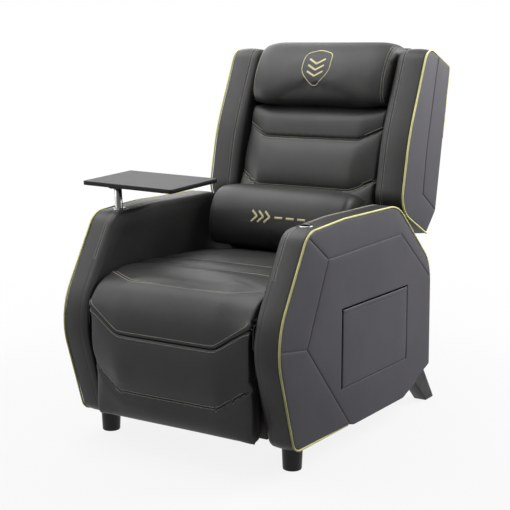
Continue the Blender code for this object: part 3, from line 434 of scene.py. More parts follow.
def inflate(thing, lines, hold_back, most):
    """Foam under its cover: the pad starts smaller by 0.55 of most, its seams and, as far as
    hold_back(points, normals) says from 0 to 1, its back are held, and a cloth simulation under
    air pressure fills it, with no point moved further than most."""
    points, normal = mesh_points(thing), mesh_normals(thing)
    held = np.clip(hold_back(points, normal), 0.0, 1.0)
    if lines:
        away = nearest_on(lines, points)[0]
        held = np.maximum(held, np.clip(1.0 - (away - 2.5) / 14.0, 0.0, 1.0))
    start = points - normal * (1.0 - held)[:, None] * most * STARTS_SMALLER
    move_points(thing, start)
    group = thing.vertex_groups.new(name="held")
    for weight in np.unique(np.round(held, 2)):
        chosen = np.nonzero(np.round(held, 2) == weight)[0]
        if weight > 0:
            group.add(chosen.tolist(), float(weight), "REPLACE")
    cloth = thing.modifiers.new("fill", "CLOTH")
    cloth.settings.quality = 4
    cloth.settings.mass = 0.4
    cloth.settings.tension_stiffness = 12
    cloth.settings.compression_stiffness = 12
    cloth.settings.shear_stiffness = 8
    cloth.settings.bending_stiffness = 2.0
    cloth.settings.use_pressure = True
    cloth.settings.uniform_pressure_force = AIR_PRESSURE
    cloth.settings.vertex_group_mass = "held"
    cloth.settings.effector_weights.gravity = 0.0
    cloth.collision_settings.use_collision = False
    cloth.point_cache.frame_start = 1
    cloth.point_cache.frame_end = FILL_FRAMES
    scene = bpy.context.scene
    for step in range(1, FILL_FRAMES + 1):
        scene.frame_set(step)
    apply_modifiers(thing)
    thing.vertex_groups.clear()
    moved = mesh_points(thing) - start
    far = np.linalg.norm(moved, axis=1, keepdims=True)
    move_points(thing, start + moved * np.minimum(1.0, most / np.maximum(far, 1e-9)))
    scene.frame_set(1)


def refine(thing):
    """One level of subdivision, applied."""
    finer = thing.modifiers.new("finer", "SUBSURF")
    finer.levels = 1
    finer.render_levels = 1
    apply_modifiers(thing)
    thing.data.shade_smooth()


GATHER_PITCH = 17.0


def sew(thing, lines, depth, width, gather=0.5):
    """Seam lines pulled in: depth * exp(-(d / width)^2), with low gathers beside them that rise
    and fall along the seam and fade within 12 mm."""
    points, normal = mesh_points(thing), mesh_normals(thing)
    away, run = nearest_on(lines, points)
    turn = run * 2 * np.pi / GATHER_PITCH
    wave = np.sin(turn) + 0.6 * np.sin(turn / 1.7 + 1.3)
    drop = depth * np.exp(-((away / width) ** 2))
    rise = gather * wave * np.exp(-(((away - 5.0) / 5.0) ** 2)) * 0.5
    move_points(thing, points + normal * (rise - drop)[:, None])


def slack(thing, amount, size, stretch=(1.0, 1.0, 1.0), seed=0.0):
    """Broad, shallow unevenness of the cover: three crossing sine waves with bent phases."""
    points, normal = mesh_points(thing), mesh_normals(thing)
    x, y, z = (points * stretch / size + seed).T
    wave = np.sin(x + 1.7 * np.sin(z * 0.8)) + np.sin(y * 1.3 + 1.1 * np.sin(x * 0.9 + 2.0))
    wave = wave + np.sin(z * 1.1 + 1.4 * np.sin(y * 0.7 + 4.0))
    move_points(thing, points + normal * (wave * amount / 3)[:, None])


def patterned(
    name, texture, stops, into="Base Color", kind="TexNoise", out="Fac",
    relief=(), fine=0, stretch=(), **inputs
):
    """A material whose texture, stretched where asked, runs through a ramp into one input of the
    shader. The texture, or a noise of a fine scale, drives a bump of relief (strength, metres)."""
    material, tree, shader = node_material(name)
    source = (add_node(tree, "TexCoord"), "Object")
    if stretch:
        mapping = add_node(tree, "Mapping")
        mapping.inputs["Scale"].default_value = stretch
        wire_up(tree, (source, (mapping, "Vector")))
        source = (mapping, "Vector")
    pattern = add_node(tree, kind, **texture)
    ramp = colour_ramp(tree, *stops)
    wire_up(tree, (source, (pattern, "Vector")), ((pattern, out), (ramp, 0)), ((ramp, 0), (shader, into)))
    if relief:
        bump = add_node(tree, "Bump", Strength=relief[0], Distance=relief[1])
        raised = pattern
        if fine:
            raised = add_node(tree, "TexNoise", Scale=fine, Detail=2.0)
            wire_up(tree, (source, (raised, "Vector")))
        wire_up(tree, ((raised, "Fac"), (bump, "Height")), ((bump, 0), (shader, "Normal")))
    for key, value in inputs.items():
        shader.inputs[key.replace("_", " ")].default_value = value
    return material


TWIST = {"Scale": 900.0, "Detail": 2.0}
THREAD_TONES = ((0.3, (0.54, 0.52, 0.44)), (0.7, (0.78, 0.74, 0.62)))
grey_thread = patterned("grey_thread", TWIST, THREAD_TONES, Roughness=0.6)


def surface_of(thing):
    """A search tree over the object's surface, in world metres."""
    return BVHTree.FromObject(thing, bpy.context.evaluated_depsgraph_get())


STITCH_PITCH = 6.2
STITCH_LENGTH = 4.6


def stitches(name, thing, lines, offsets, material, body, radius=0.75):
    """Stitches: six-sided threads with pointed, sunken ends, laid 6.2 mm apart along lines that run
    beside the seam at the given offsets. Each is dropped on the cover against the cover's mean
    normal within reach, so that a row stays beside a seam's groove and out of it."""
    surface = surface_of(thing)
    reach = (max(abs(offset) for offset in offsets) + 3.5) / 1000
    turn = np.radians(np.arange(6) * 60)
    shares = np.array([(-0.5, 0.15), (-0.36, 0.8), (0.0, 1.0), (0.36, 0.8), (0.5, 0.15)])
    centres, ways, normals = [], [], []
    for line in lines:
        length_all = np.linalg.norm(np.diff(line, axis=0), axis=1).sum()
        count = max(3, int(length_all / STITCH_PITCH))
        spots = along_evenly(line, 2 * count + 1)
        ahead = np.gradient(spots, axis=0)
        for spot, way in zip(spots[1::2], ahead[1::2]):
            hit, near_normal, _, _ = surface.find_nearest(Vector(in_metres(spot)))
            normal = sum((found[1] for found in surface.find_nearest_range(hit, reach)), near_normal * 0.1)
            normal.normalize()
            way = Vector(way).normalized()
            beside = way.cross(normal).normalized()
            for offset in offsets:
                above = hit + beside * offset / 1000 + normal * 0.006
                at, out, _, _ = surface.ray_cast(above, -normal, 0.02)
                if at is None:
                    at, out, _, _ = surface.find_nearest(hit + beside * offset / 1000)
                centres.append((np.array(at) - chair_origin) * 1000)
                ways.append(way - out * way.dot(out))
                normals.append(out)
    centres, ways, normals = np.array(centres), np.array(ways, float), np.array(normals, float)
    ways /= np.linalg.norm(ways, axis=1, keepdims=True)
    besides = np.cross(ways, normals)
    centres, ways, normals, besides = (each[:, None, None] for each in (centres, ways, normals, besides))
    run, thick = (shares[:, k][None, :, None, None] for k in (0, 1))
    up, out = ((wave * radius)[None, None, :, None] for wave in (np.sin(turn), np.cos(turn)))
    rings = centres + ways * (run * STITCH_LENGTH) + normals * (radius * (thick - 0.35))
    rings = rings + normals * up * thick + besides * out * thick
    one = quads(len(shares), len(turn), wrap_columns=True)
    firsts = np.arange(len(centres)) * len(shares) * len(turn)
    faces = (one[None] + firsts[:, None, None]).reshape(-1, 4)
    row = solid_object(name, rings.reshape(-1, 3), faces, material, weld=0.0001)
    if body:
        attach(row, body)
    return row


SEAT_HALF = 259.0
KNEE = 158.0
seat_front = [
    ((-298, 430), (-243, 436)),
    ((-302.5, 446), (-246, 453)),
    ((-302.5, 458), (-247, 463)),
    ((-299, 463.5), (-244, 468)),
    ((-286, 469), (-234, 472)),
    ((-252, 478), (-216, 476)),
    ((-200, 484), (-185, 478)),
    ((-160, 484.5), (-158, 476.5)),
    ((-142, 483.5), (-142, 474.5)),
    ((-122, 486.5), (-124, 477)),
    ((-96, 489), (-96, 478)),
    ((-68, 488.5), (-70, 476)),
    ((-51, 486.5), (-51, 473)),
    ((-30, 489), (-32, 475)),
    ((60, 488.5), (60, 472)),
    ((130, 484), (130, 469)),
    ((200, 477), (200, 465)),
    ((262, 466), (262, 456)),
    ((284, 452), (282, 444)),
    ((290, 425), (287, 420)),
]
seat_back = [
    ((-298, 430), (-243, 436)),
    ((-290, 405), (-244, 412)),
    ((-272, 393.5), (-246, 398)),
    ((-200, 392.3), (-200, 393)),
    ((0, 392.3), (0, 393)),
    ((200, 392.3), (200, 393)),
    ((276, 393.5), (272, 396)),
    ((290, 425), (287, 420)),
]
seat, lines = pad("seat_pad", black_hide, seat_front, seat_back, [8, 12], SEAT_HALF, KNEE, 13.0, 8.0)
inflate(
    seat, lines, lambda p, n: np.maximum((408 - p[:, 2]) / 12, (np.abs(p[:, 0]) - 205) / 30), 4.5
)
refine(seat)
sew(seat, lines, 1.8, 1.7, gather=0.5)
slack(seat, 0.5, 46.0, (1.0, 1.4, 1.0), seed=0.7)
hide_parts("seat_cushion")
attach(seat, "base")

# Seat stitching: the two channels are closed by a single line of grey thread each. It stops short
# of the arms.
shown = [line[(np.abs(line[:, 0]) < 238)] for line in lines]
stitches("seat_channel_stitches", seat, shown, [0.0], grey_thread, "base", radius=0.7)

# Bolster: the rounded front of the seat, one padded strip between the seat's front seam and the
# deep crease of the footrest. It stays where it is drawn and rides on no part.
BOLSTER_HALF = 257.0
bolster_front = [
    ((-297, 450), (-247, 450)),
    ((-303.5, 460), (-248, 462)),
    ((-306, 462.5), (-252, 468)),
    ((-319, 456.5), (-279, 464)),
    ((-334, 445), (-304, 454)),
    ((-348, 427), (-324, 441)),
    ((-358.5, 404), (-338, 427)),
    ((-365.5, 380), (-348, 415)),
    ((-368.5, 356), (-354, 408.5)),
    ((-369, 340), (-357, 402.5)),
    ((-367.5, 329.8), (-356.5, 396.3)),
    ((-362, 325.8), (-353, 392.6)),
    ((-350, 325), (-344, 392)),
]
bolster_back = [
    ((-297, 450), (-247, 450)),
    ((-302, 430), (-262, 424)),
    ((-318, 410), (-290, 404)),
    ((-330, 385), (-316, 396)),
    ((-334, 355), (-326, 393)),
    ((-338, 335), (-334, 392)),
    ((-350, 325), (-344, 392)),
]
bolster, lines = pad(
    "front_bolster", black_hide, bolster_front, bolster_back, [2, 11], BOLSTER_HALF, KNEE, 10.0, 7.0
)
seat_seam, crease = lines
inflate(bolster, lines, lambda p, n: (n[:, 1] > 0.2) * 1.0, 5.0)
refine(bolster)


def spread(thing, most):
    """Widens a pad beside the steelwork: X grows by most * a * b, where a rises from 0 to 1 from
    200 to 255 mm out, and b from 340 to 356 mm in front or from 404 to 416 mm up. Both are
    smooth steps, and b fades again below 115 mm."""
    points = mesh_points(thing)
    a = np.clip((np.abs(points[:, 0]) - 200) / 55, 0, 1)
    b = np.maximum(np.clip((-340 - points[:, 1]) / 16, 0, 1), np.clip((points[:, 2] - 404) / 12, 0, 1))
    b = b * np.clip((points[:, 2] - 75) / 40, 0, 1)
    points[:, 0] += np.sign(points[:, 0]) * most * a * a * (3 - 2 * a) * b * b * (3 - 2 * b)
    move_points(thing, points)


spread(seat, 3.0)
spread(bolster, 5.5)
slack(bolster, 0.5, 52.0, (0.8, 1.0, 1.2), seed=2.1)


def bend_with_footrest(thing):
    """Bakes the object's placement into its mesh; no bend is made."""
    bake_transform(thing)


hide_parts("seat_cushion", "footrest_pad")
bend_with_footrest(bolster)
rear_row = seat_seam + (0, 6.5, 1.0)
front_row = seat_seam + (0, -4.5, -2.0)
crease_row = crease + (0, -5, 5)
stitches("seat_seam_stitches_rear", seat, [rear_row], [0.0], grey_thread, "base")
stitches("seat_seam_stitches_front", bolster, [front_row], [0.0], grey_thread, "base")
row = stitches("crease_stitches_above", bolster, [crease_row], [-4.0], grey_thread, None)
bend_with_footrest(row)

# Footrest pad: the chair's whole front below the crease, one foam pad on a plywood board, with a
# second V-shaped channel sewn across it. It swings with the footrest.
FOOTREST_HALF = 255.0
footrest_front = [
    ((-347, 318), (-339, 384)),
    ((-358, 324.7), (-349, 390.7)),
    ((-366, 323), (-355, 389)),
    ((-371, 314), (-358, 379)),
    ((-373.5, 290), (-358, 350)),
    ((-374, 248), (-358, 303)),
    ((-370, 212), (-354, 266)),
    ((-362, 184), (-347, 243)),
    ((-352.5, 166), (-341, 231)),
    ((-355, 152), (-344, 217)),
    ((-354.5, 132), (-344, 185)),
    ((-346, 104), (-344, 112)),
    ((-337, 85), (-338, 87)),
    ((-319, 80), (-323, 80)),
]
footrest_back = [
    ((-347, 318), (-339, 384)),
    ((-330, 312), (-326, 376)),
    ((-300.5, 306), (-307.5, 364)),
    ((-288, 214), (-289, 225)),
    ((-273.5, 96), (-285, 122)),
    ((-286, 84), (-297, 92)),
    ((-319, 80), (-323, 80)),
]
footrest, lines = pad(
    "footrest_cushion", black_hide, footrest_front, footrest_back, [1, 8], FOOTREST_HALF, KNEE, 12.0, 8.0
)
inflate(footrest, lines, lambda p, n: (p[:, 1] + 318) / 12, 7.0)
refine(footrest)
spread(footrest, 6.0)
lines = [line + np.sign(line[:, :1]) * (np.abs(line[:, :1]) > 240) * (6.0, 0, 0) for line in lines]
sew(footrest, lines[1:], 3.4, 2.3, gather=0.8)
slack(footrest, 0.6, 60.0, (1.0, 1.0, 0.8), seed=4.4)
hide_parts("footrest_pad")
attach(footrest, "footrest")
shown = lines[1][np.abs(lines[1][:, 0]) < 249]
stitches("footrest_channel_stitches", footrest, [shown], [-4.2, 4.2], grey_thread, "footrest")
stitches("footrest_crease_stitches", footrest, [lines[0] + (0, -6, -3)], [4.0], grey_thread, "footrest")

# Back cushion: one tall foam pad on the back board, crossed by two V-shaped channels, each closed
# by a double row of grey thread. It leans back with the board.
BACK_HALF = 237.5
back_front = [
    ((300, 441), (306, 443)),
    ((262, 450), (284, 455)),
    ((243, 468), (268, 474)),
    ((236, 492), (264, 497)),
    ((243, 535), (278, 545)),
    ((260, 575), (298, 588)),
    ((281, 622), (325, 648)),
    ((301, 649), (345, 682)),
    ((320, 660), (360, 693)),
    ((316, 676), (357, 709)),
    ((318, 702), (361, 736)),
    ((331, 745), (376, 782)),
    ((350, 783), (391, 818)),
    ((364, 798), (399, 832)),
    ((376.5, 804), (406, 839.5)),
    ((371, 816), (401, 850)),
    ((374, 836), (402, 866)),
    ((386, 866), (410, 886)),
    ((402, 884), (420, 895)),
    ((422, 891), (432, 898)),
]
back_hidden = [
    ((300, 441), (306, 443)),
    ((370, 441), (370, 443)),
    ((389.5, 448), (389.5, 450)),
    ((451, 672), (451, 672)),
    ((511, 893), (511, 896)),
    ((480, 897), (480, 901)),
    ((422, 891), (432, 898)),
]


def from_board(points):
    """How far points lie behind the raked face of the back board: y - (385 + 0.2715 * (z - 425))."""
    return points[:, 1] - (385 + 0.2715 * (points[:, 2] - 425))


back, lines = pad("back_pad", black_hide, back_front, back_hidden, [8, 14], BACK_HALF, 162.0, 12.0, 8.0)
inflate(back, lines, lambda p, n: (from_board(p) + 30) / 15, 7.0)
refine(back)
sew(back, lines, 3.0, 2.2, gather=0.8)
slack(back, 0.6, 58.0, (0.8, 1.0, 1.0), seed=6.3)
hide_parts("back_cushion")
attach(back, "back")
stitches("back_channel_stitches", back, lines, [-4.6, 4.6], grey_thread, "back")

# Headrest: a full, rolled pillow at the top of the back, sewn over the board's top edge, with a
# flat double-stitched seam down each side.
HEAD_HALF = 238.0
head_front = [
    ((448, 898.5), (448, 903)),
    ((420, 895.5), (428, 902)),
    ((400, 899), (412, 907)),
    ((387, 912), (402, 922)),
    ((381, 936), (398.5, 944)),
    ((385, 968), (403, 971)),
    ((396, 1000), (413, 1000)),
    ((413, 1032), (428, 1029)),
    ((436, 1063), (447, 1055)),
    ((463, 1083.5), (469, 1072)),
    ((494, 1091.5), (496, 1079)),
    ((525, 1088), (525, 1077)),
    ((546, 1072), (546, 1064)),
]
head_hidden = [
    ((448, 898.5), (448, 903)),
    ((495, 901), (495, 904)),
    ((514, 906), (514, 908)),
    ((532, 970), (532, 970)),
    ((548, 1030), (548, 1030)),
    ((546, 1072), (546, 1064)),
]
head, _ = pad("headrest_pad", black_hide, head_front, head_hidden, [], HEAD_HALF, 190.0, 24.0, 8.0, 0.3)
inflate(head, [], lambda p, n: (from_board(p) + 22) / 12, 7.0)
refine(head)


def laid_on(surface, x, z, from_y=-600.0):
    """Where a line along Y first meets the surface, from the front or, from a positive Y, from
    behind: the place in chair millimetres and the normal, or None twice."""
    start = Vector(in_metres((x, from_y, z)))
    hit, normal, _, _ = surface.ray_cast(start, Vector((0.0, -math.copysign(1.0, from_y), 0.0)))
    if hit is None:
        return None, None
    return (np.array(hit) - chair_origin) * 1000, np.array(normal)


side_seams = []
surface = surface_of(head)
for x in (-221.0, 221.0):
    line = [laid_on(surface, x, z)[0] for z in np.linspace(905.0, 1082.0, 60)]
    side_seams.append(np.array([place for place in line if place is not None]))
sew(head, side_seams, 1.6, 1.8, gather=0.5)
slack(head, 0.7, 62.0, (0.7, 1.0, 1.0), seed=8.8)
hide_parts("headrest_cushion")
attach(head, "back")
stitches("headrest_side_stitches", head, side_seams, [-3.5, 3.5], grey_thread, "back", radius=0.5)

# Lumbar pillow: a loose bolster that lies across the foot of the back, fuller below than above.
PILLOW_HALF = 236.0
pillow_front = [
    ((204, 486), (206, 488)),
    ((178, 486.5), (181, 489)),
    ((158, 496), (163, 499)),
    ((147, 518), (153, 520)),
    ((145, 548), (151, 549)),
    ((148, 580), (155, 580)),
    ((157, 612), (165, 610)),
    ((172, 640), (181, 636)),
    ((194, 661), (202, 653)),
    ((221, 671), (227, 661)),
    ((247, 672), (251, 660)),
    ((272, 664), (274, 651)),
    ((290, 652), (290, 642)),
]
pillow_hidden = [
    ((204, 486), (206, 488)),
    ((222, 494), (224, 496)),
    ((234, 516), (240, 517)),
    ((243, 545), (249, 546)),
    ((256, 575), (262, 575)),
    ((271, 606), (276, 605)),
    ((284, 632), (287, 626)),
    ((290, 652), (290, 642)),
]
pillow, _ = pad(
    "lumbar_bolster", black_hide, pillow_front, pillow_hidden, [], PILLOW_HALF, 165.0, 22.0, 8.0, 0.3
)
inflate(pillow, [], lambda p, n: (n[:, 1] > 0.55) * 1.0, 7.0)
refine(pillow)
slack(pillow, 0.9, 66.0, (0.7, 1.0, 1.0), seed=1.9)
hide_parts("lumbar_pillow")
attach(pillow, "back")

# Crest: a badge embroidered in gold thread on the headrest, and a row of chevrons on the pillow.
# Each stroke is a band of satin stitch a little proud of the leather.
SATIN = {"Scale": 420.0, "Distortion": 1.5, "Detail": 2.0}
GOLD_TONES = ((0.25, (0.74, 0.66, 0.36)), (0.75, (0.95, 0.88, 0.55)))
gold_thread = patterned(
    "gold_thread", SATIN, GOLD_TONES, kind="TexWave", relief=(0.6, 0.0004), Roughness=0.42
)


def embroidery(name, thing, strokes, width, body):
    """Strokes drawn in the XZ plane and laid on the cover: each is a band of the given width whose
    cross section is an arch, 0.9 mm * (1 - t^2), sunk 0.5 mm at both edges."""
    surface = surface_of(thing)
    across = np.array([-1.0, -0.9, -0.45, 0.0, 0.45, 0.9, 1.0])
    rise_at = np.array([-0.6, 0.35, 0.85, 1.0, 0.85, 0.35, -0.6]) * 0.9
    points, faces, first = [], [], 0
    for stroke, closed in strokes:
        stroke = np.asarray(stroke, float)
        loop = np.vstack([stroke, stroke[:1]]) if closed else stroke
        fine = along_evenly(loop, max(4, int(np.linalg.norm(np.diff(loop, axis=0), axis=1).sum() / 1.6)))
        ahead = np.gradient(fine, axis=0)
        if closed:
            ahead[0] = ahead[-1] = fine[1] - fine[-2]
        ahead /= np.linalg.norm(ahead, axis=1, keepdims=True)
        aside = np.stack([-ahead[:, 1], ahead[:, 0]], axis=1)
        flat = fine[:, None] + aside[:, None] * (across * width / 2)[None, :, None]
        laid = []
        for (x, z), rise in zip(flat.reshape(-1, 2), np.tile(rise_at, len(fine))):
            place, normal = laid_on(surface, x, z)
            laid.append(place + normal * rise)
        points.append(np.array(laid))
        faces.append(quads(len(fine), len(across)) + first)
        first += len(laid)
    badge = solid_object(name, np.vstack(points), np.vstack(faces), gold_thread, weld=0.0001)
    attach(badge, body)


def cut_corners(points, share):
    """A closed shape whose corners are cut three times, each time by a share of both sides."""
    points = np.asarray(points, float)
    for _ in range(3):
        ahead = np.roll(points, -1, axis=0)
        near, far = points * (1 - share) + ahead * share, points * share + ahead * (1 - share)
        points = np.stack([near, far], axis=1).reshape(-1, 2)
    return points


crest_outline = cut_corners([(-46, 1054), (0, 1064), (46, 1054), (48, 1002), (0, 952), (-48, 1002)], 0.16)
crest_chevrons = [([(-27, z + 14), (0, z), (27, z + 14)], False) for z in (988, 1006, 1024)]
embroidery("headrest_crest", head, [(crest_outline, True)], 2.6, "back")
embroidery("headrest_crest_chevrons", head, crest_chevrons, 6.0, "back")
pillow_marks = [([(x - 9, 604), (x + 9, 588), (x - 9, 572)], False) for x in (-58, -36, -14)]
pillow_bars = [([(x, 588), (x + 26, 588)], False) for x in (12, 50, 88)]
embroidery("pillow_chevrons", pillow, pillow_marks, 7.0, "back")
embroidery("pillow_bars", pillow, pillow_bars, 7.0, "back")

# Arms: a plywood board wrapped in foam and black leather, one on each side of the seat. A welt runs
# along the outer edge, and a double seam along the inner one, stitched where it shows above the
# seat. The tray's sockets go in from above.
SIDES = ((1, "left"), (-1, "right"))
side_hide = hide("side_leather", (0.053, 0.050, 0.060), (0.064, 0.060, 0.073), 0.50, 0.60, 700.0, 0.0005)
ARM_SPAN = (-377.0, 66.0, 874.0, 570.0)
ARM_CORNER_SHARES = [
    (0.106, 0.000, 0.070),
    (0.000, 0.519, 0.368),
    (0.174, 0.977, 0.114),
    (0.386, 1.000, 0.526),
    (0.743, 1.000, 0.228),
    (0.993, 0.665, 0.193),
    (1.000, 0.104, 0.018),
    (0.799, 0.000, 0.035),
]
ARM_INNER = 267.0
ARM_WIDTH = 76.0


def corners_in(span, shares):
    """Corners (y, z, radius) in millimetres from shares of a box (y, z, depth, rise)."""
    y, z, depth, rise = span
    return np.array([(y + a * depth, z + b * rise, r * rise) for a, b, r in shares])


def outline_rings(corners, insets, step=8.0):
    """The rounded outline moved inwards by each inset, point for point: a corner moves along its
    bisector, its radius shrinks by the inset, and straight runs keep their number of points."""
    here = corners[:, :2]
    into = here - np.roll(here, 1, axis=0)
    into /= np.linalg.norm(into, axis=1, keepdims=True)
    out = np.roll(into, -1, axis=0)
    turn = np.arctan2(into[:, 0] * out[:, 1] - into[:, 1] * out[:, 0], (into * out).sum(1))
    bisector = np.stack([into[:, 1] + out[:, 1], -into[:, 0] - out[:, 0]], axis=1)
    bisector /= 1 + (into * out).sum(1, keepdims=True)
    arcs = np.maximum(5, np.ceil(np.abs(turn) * corners[:, 2] / step)).astype(int)
    reach = corners[:, 2] * np.tan(np.abs(turn) / 2)
    run = np.linalg.norm(np.roll(here, -1, axis=0) - here, axis=1) - reach - np.roll(reach, -1)
    straights = np.maximum(2, np.ceil(run / step)).astype(int)
    rings = []
    for inset in insets:
        moved = here + bisector * inset
        radius = np.maximum(corners[:, 2] - inset, 1.5)
        begin = moved - into * (radius * np.tan(np.abs(turn) / 2))[:, None]
        left = np.stack([-into[:, 1], into[:, 0]], axis=1) * np.sign(turn)[:, None]
        centre = begin + left * radius[:, None]
        pieces = []
        for i in range(len(corners)):
            angle = turn[i] * np.linspace(0, 1, arcs[i] + 1)
            arm = begin[i] - centre[i]
            x = centre[i, 0] + arm[0] * np.cos(angle) - arm[1] * np.sin(angle)
            y = centre[i, 1] + arm[0] * np.sin(angle) + arm[1] * np.cos(angle)
            pieces.append(np.stack([x, y], axis=1))
        ring = []
        for i, piece in enumerate(pieces):
            following = pieces[(i + 1) % len(pieces)][0]
            share = np.linspace(0, 1, straights[i] + 1)[1:-1, None]
            ring += [piece, piece[-1] * (1 - share) + following * share]
        rings.append(np.vstack(ring))
    return np.array(rings)


OUTER_ROUND = 5.0


def rounding(radius):
    """A quarter round from its tangent on: radius * (1 - sin a, 1 - cos a), a from 90 to 0 degrees."""
    turns = np.radians([90, 72, 54, 36, 18, 0])
    return [(radius * (1 - math.sin(a)), radius * (1 - math.cos(a))) for a in turns]


def upholstered_body(corners, width, inner_round, seam_at, crown, roll, dip):
    """A padded body over an outline: its section, from the middle of the inner face round to the
    middle of the outer one, is a list of (distance from the inner face, inset). The band swells
    by crown * (1 - t^2) and dips at its seam by dip * exp(-(s / 1.7)^2). The inner face is lifted
    by a soft top roll, from 470 mm up and fading at the face's rim."""
    inner = rounding(inner_round)
    outer = [(width - x, inset) for x, inset in reversed(rounding(OUTER_ROUND))]
    fine = [seam_at + d for d in (-9, -6, -4, -2.6, -1.6, -0.8, 0, 0.8, 1.6, 2.6, 4, 6, 9)]
    coarse = np.linspace(seam_at + 13, width - OUTER_ROUND, 8)[:-1]
    between = [x for x in (*fine, *coarse) if inner_round + 1.0 < x < width - OUTER_ROUND]
    half = (width - inner_round - OUTER_ROUND) / 2
    band = []
    for x in between:
        swell = crown * (1 - ((x - inner_round - half) / half) ** 2)
        band.append((x, dip * math.exp(-(((x - seam_at) / 1.7) ** 2)) - swell))
    face = [(0.0, inset) for inset in (90, 70, 52, 38, 28, 21) if inset > inner_round + 2]
    section = np.array([*face, *inner, *band, *outer, (width, OUTER_ROUND + 12), (width, 50.0)])
    from_inner, inset = section[:, :1], section[:, 1:]
    rings = outline_rings(corners, section[:, 1])
    soft = np.clip((rings[..., 1] - 470) / 60, 0, 1) * np.clip((inset - 14) / 22, 0, 1)
    away = from_inner - roll * soft * (from_inner < 0.5)
    middle = rings.mean(axis=1, keepdims=True)
    shares = np.array([0.02, 0.3, 0.6, 0.8])[:, None, None]
    first = middle[0] * (1 - shares) + rings[0] * shares
    last = (middle[-1] * (1 - shares) + rings[-1] * shares)[::-1]
    rings = np.concatenate([first, rings, last])
    away = np.pad(away, ((len(shares), len(shares)), (0, 0)), mode="edge")
    seam_row = len(shares) + int(np.argmin(np.abs(section[:, 0] - seam_at) + 100 * (section[:, 1] > 2.5)))
    return away, rings, capped(*rings.shape[:2]), seam_row


def side_points(side, inner, away, rings):
    """Points of a body on one side of the chair: X = side * (inner + away)."""
    return np.concatenate([(side * (inner + away))[..., None], rings], axis=-1)


arm_corners = corners_in(ARM_SPAN, ARM_CORNER_SHARES)

# The arm's top falls to the front under the tray, and the sockets stand square to it.
slope = arm_corners[3, :2] - arm_corners[2, :2]
LEAN = math.atan2(slope[1], slope[0])
SOCKET_X = 304.6
SOCKET_Y = -165.0
SOCKET_Z = arm_corners[2, 1] + slope[1] * (SOCKET_Y - arm_corners[2, 0]) / slope[0]


def on_socket(side, points):
    """Chair points of places in a socket's own frame, whose origin is on the arm's top and whose
    Z runs up the sleeve: turned by the slope about X and moved to the socket."""
    x, y, z = np.moveaxis(np.asarray(points, float), -1, 0)
    turned_y = y * math.cos(LEAN) - z * math.sin(LEAN)
    turned_z = y * math.sin(LEAN) + z * math.cos(LEAN)
    return np.stack([x + side * SOCKET_X, turned_y + SOCKET_Y, turned_z + SOCKET_Z], axis=-1)


def spun(profile, sides):
    """Rings of a profile of (radius, height) spun about Z: (r cos a, r sin a, height)."""
    profile = np.array(profile, float)
    angle = np.radians(np.arange(sides) * 360 / sides)
    height = np.repeat(profile[:, 1:], sides, axis=1)
    return np.stack([profile[:, :1] * np.cos(angle), profile[:, :1] * np.sin(angle), height], axis=-1)


def turned_piece(name, profile, material, side, sides=64):
    """A turned piece on a socket's axis."""
    points = on_socket(side, spun(profile, sides)).reshape(-1, 3)
    return solid_object(name, points, quads(len(profile), sides, wrap_columns=True), material)


DRILL_PROFILE = [(0, 90), (13.8, 90), (13.8, -96), (0, -96)]
STITCHES_FROM = 500
SOCKET_CLEAR = 21
for side, hand in SIDES:
    away, rings, faces, seam_row = upholstered_body(arm_corners, ARM_WIDTH, 15.0, 22.0, 1.6, 3.5, 0.5)
    points = side_points(side, ARM_INNER, away, rings)
    arm = solid_object(f"arm_{hand}", points.reshape(-1, 3), faces, black_hide)
    drill = turned_piece("drill", DRILL_PROFILE, black_hide, side, 40)
    hole = arm.modifiers.new("socket_hole", "BOOLEAN")
    hole.operation = "DIFFERENCE"
    hole.object = drill
    apply_modifiers(arm)
    bpy.data.objects.remove(drill)
    slack(arm, 0.35, 70.0, seed=3.1 * side)
    arm.data.shade_smooth()
    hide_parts(f"arm_pad_{hand}")
    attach(arm, "base")
    seam = points[seam_row]
    seam = np.vstack([seam, seam[:1]])
    from_socket = np.hypot(seam[:, 1] - SOCKET_Y, seam[:, 2] - SOCKET_Z)
    seam = seam[(seam[:, 2] > STITCHES_FROM) & (from_socket > SOCKET_CLEAR)]
    breaks = np.nonzero(np.linalg.norm(np.diff(seam, axis=0), axis=1) > 30)[0] + 1
    runs = [run for run in np.split(seam, breaks) if len(run) > 3]
    stitches(f"arm_seam_stitches_{hand}", arm, runs, [-3.4, 3.4], grey_thread, "base", radius=0.6)

# Wings: padded side wings of the back, built like the arms, one on each side of the cushions. They
# lean with the back, above the arms' falling rear ends.
WING_SPAN = (313.0, 524.0, 312.0, 555.0)
WING_CORNER_SHARES = [
    (0.567, 0.000, 0.014),
    (0.000, 0.160, 0.135),
    (0.141, 0.537, 1.045),
    (0.503, 1.000, 0.081),
    (1.000, 0.886, 0.022),
    (0.747, 0.112, 0.027),
]
WING_INNER = 240.0
WING_WIDTH = 91.0
wing_corners = corners_in(WING_SPAN, WING_CORNER_SHARES)
for side, hand in SIDES:
    away, rings, faces, seam_row = upholstered_body(wing_corners, WING_WIDTH, 18.0, 26.0, 2.6, 0.0, 1.3)
    points = side_points(side, WING_INNER, away, rings)
    wing = solid_object(f"wing_pad_{hand}", points.reshape(-1, 3), faces, black_hide)
    slack(wing, 0.45, 60.0, seed=5.3 * side)
    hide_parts(f"wing_{hand}")
    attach(wing, "back")
    seam = np.vstack([points[seam_row], points[seam_row][:1]])
    stitches(f"wing_seam_stitches_{hand}", wing, [seam], [-3.4, 3.4], grey_thread, "back", radius=0.42)

# Side panels: the arms' and wings' outer faces, pieced from flat facets of a purplish grey leather
# over thin foam. A seam borders the middle facet, and the facets round it fall to the welt.
PANEL_INSET = 4.6


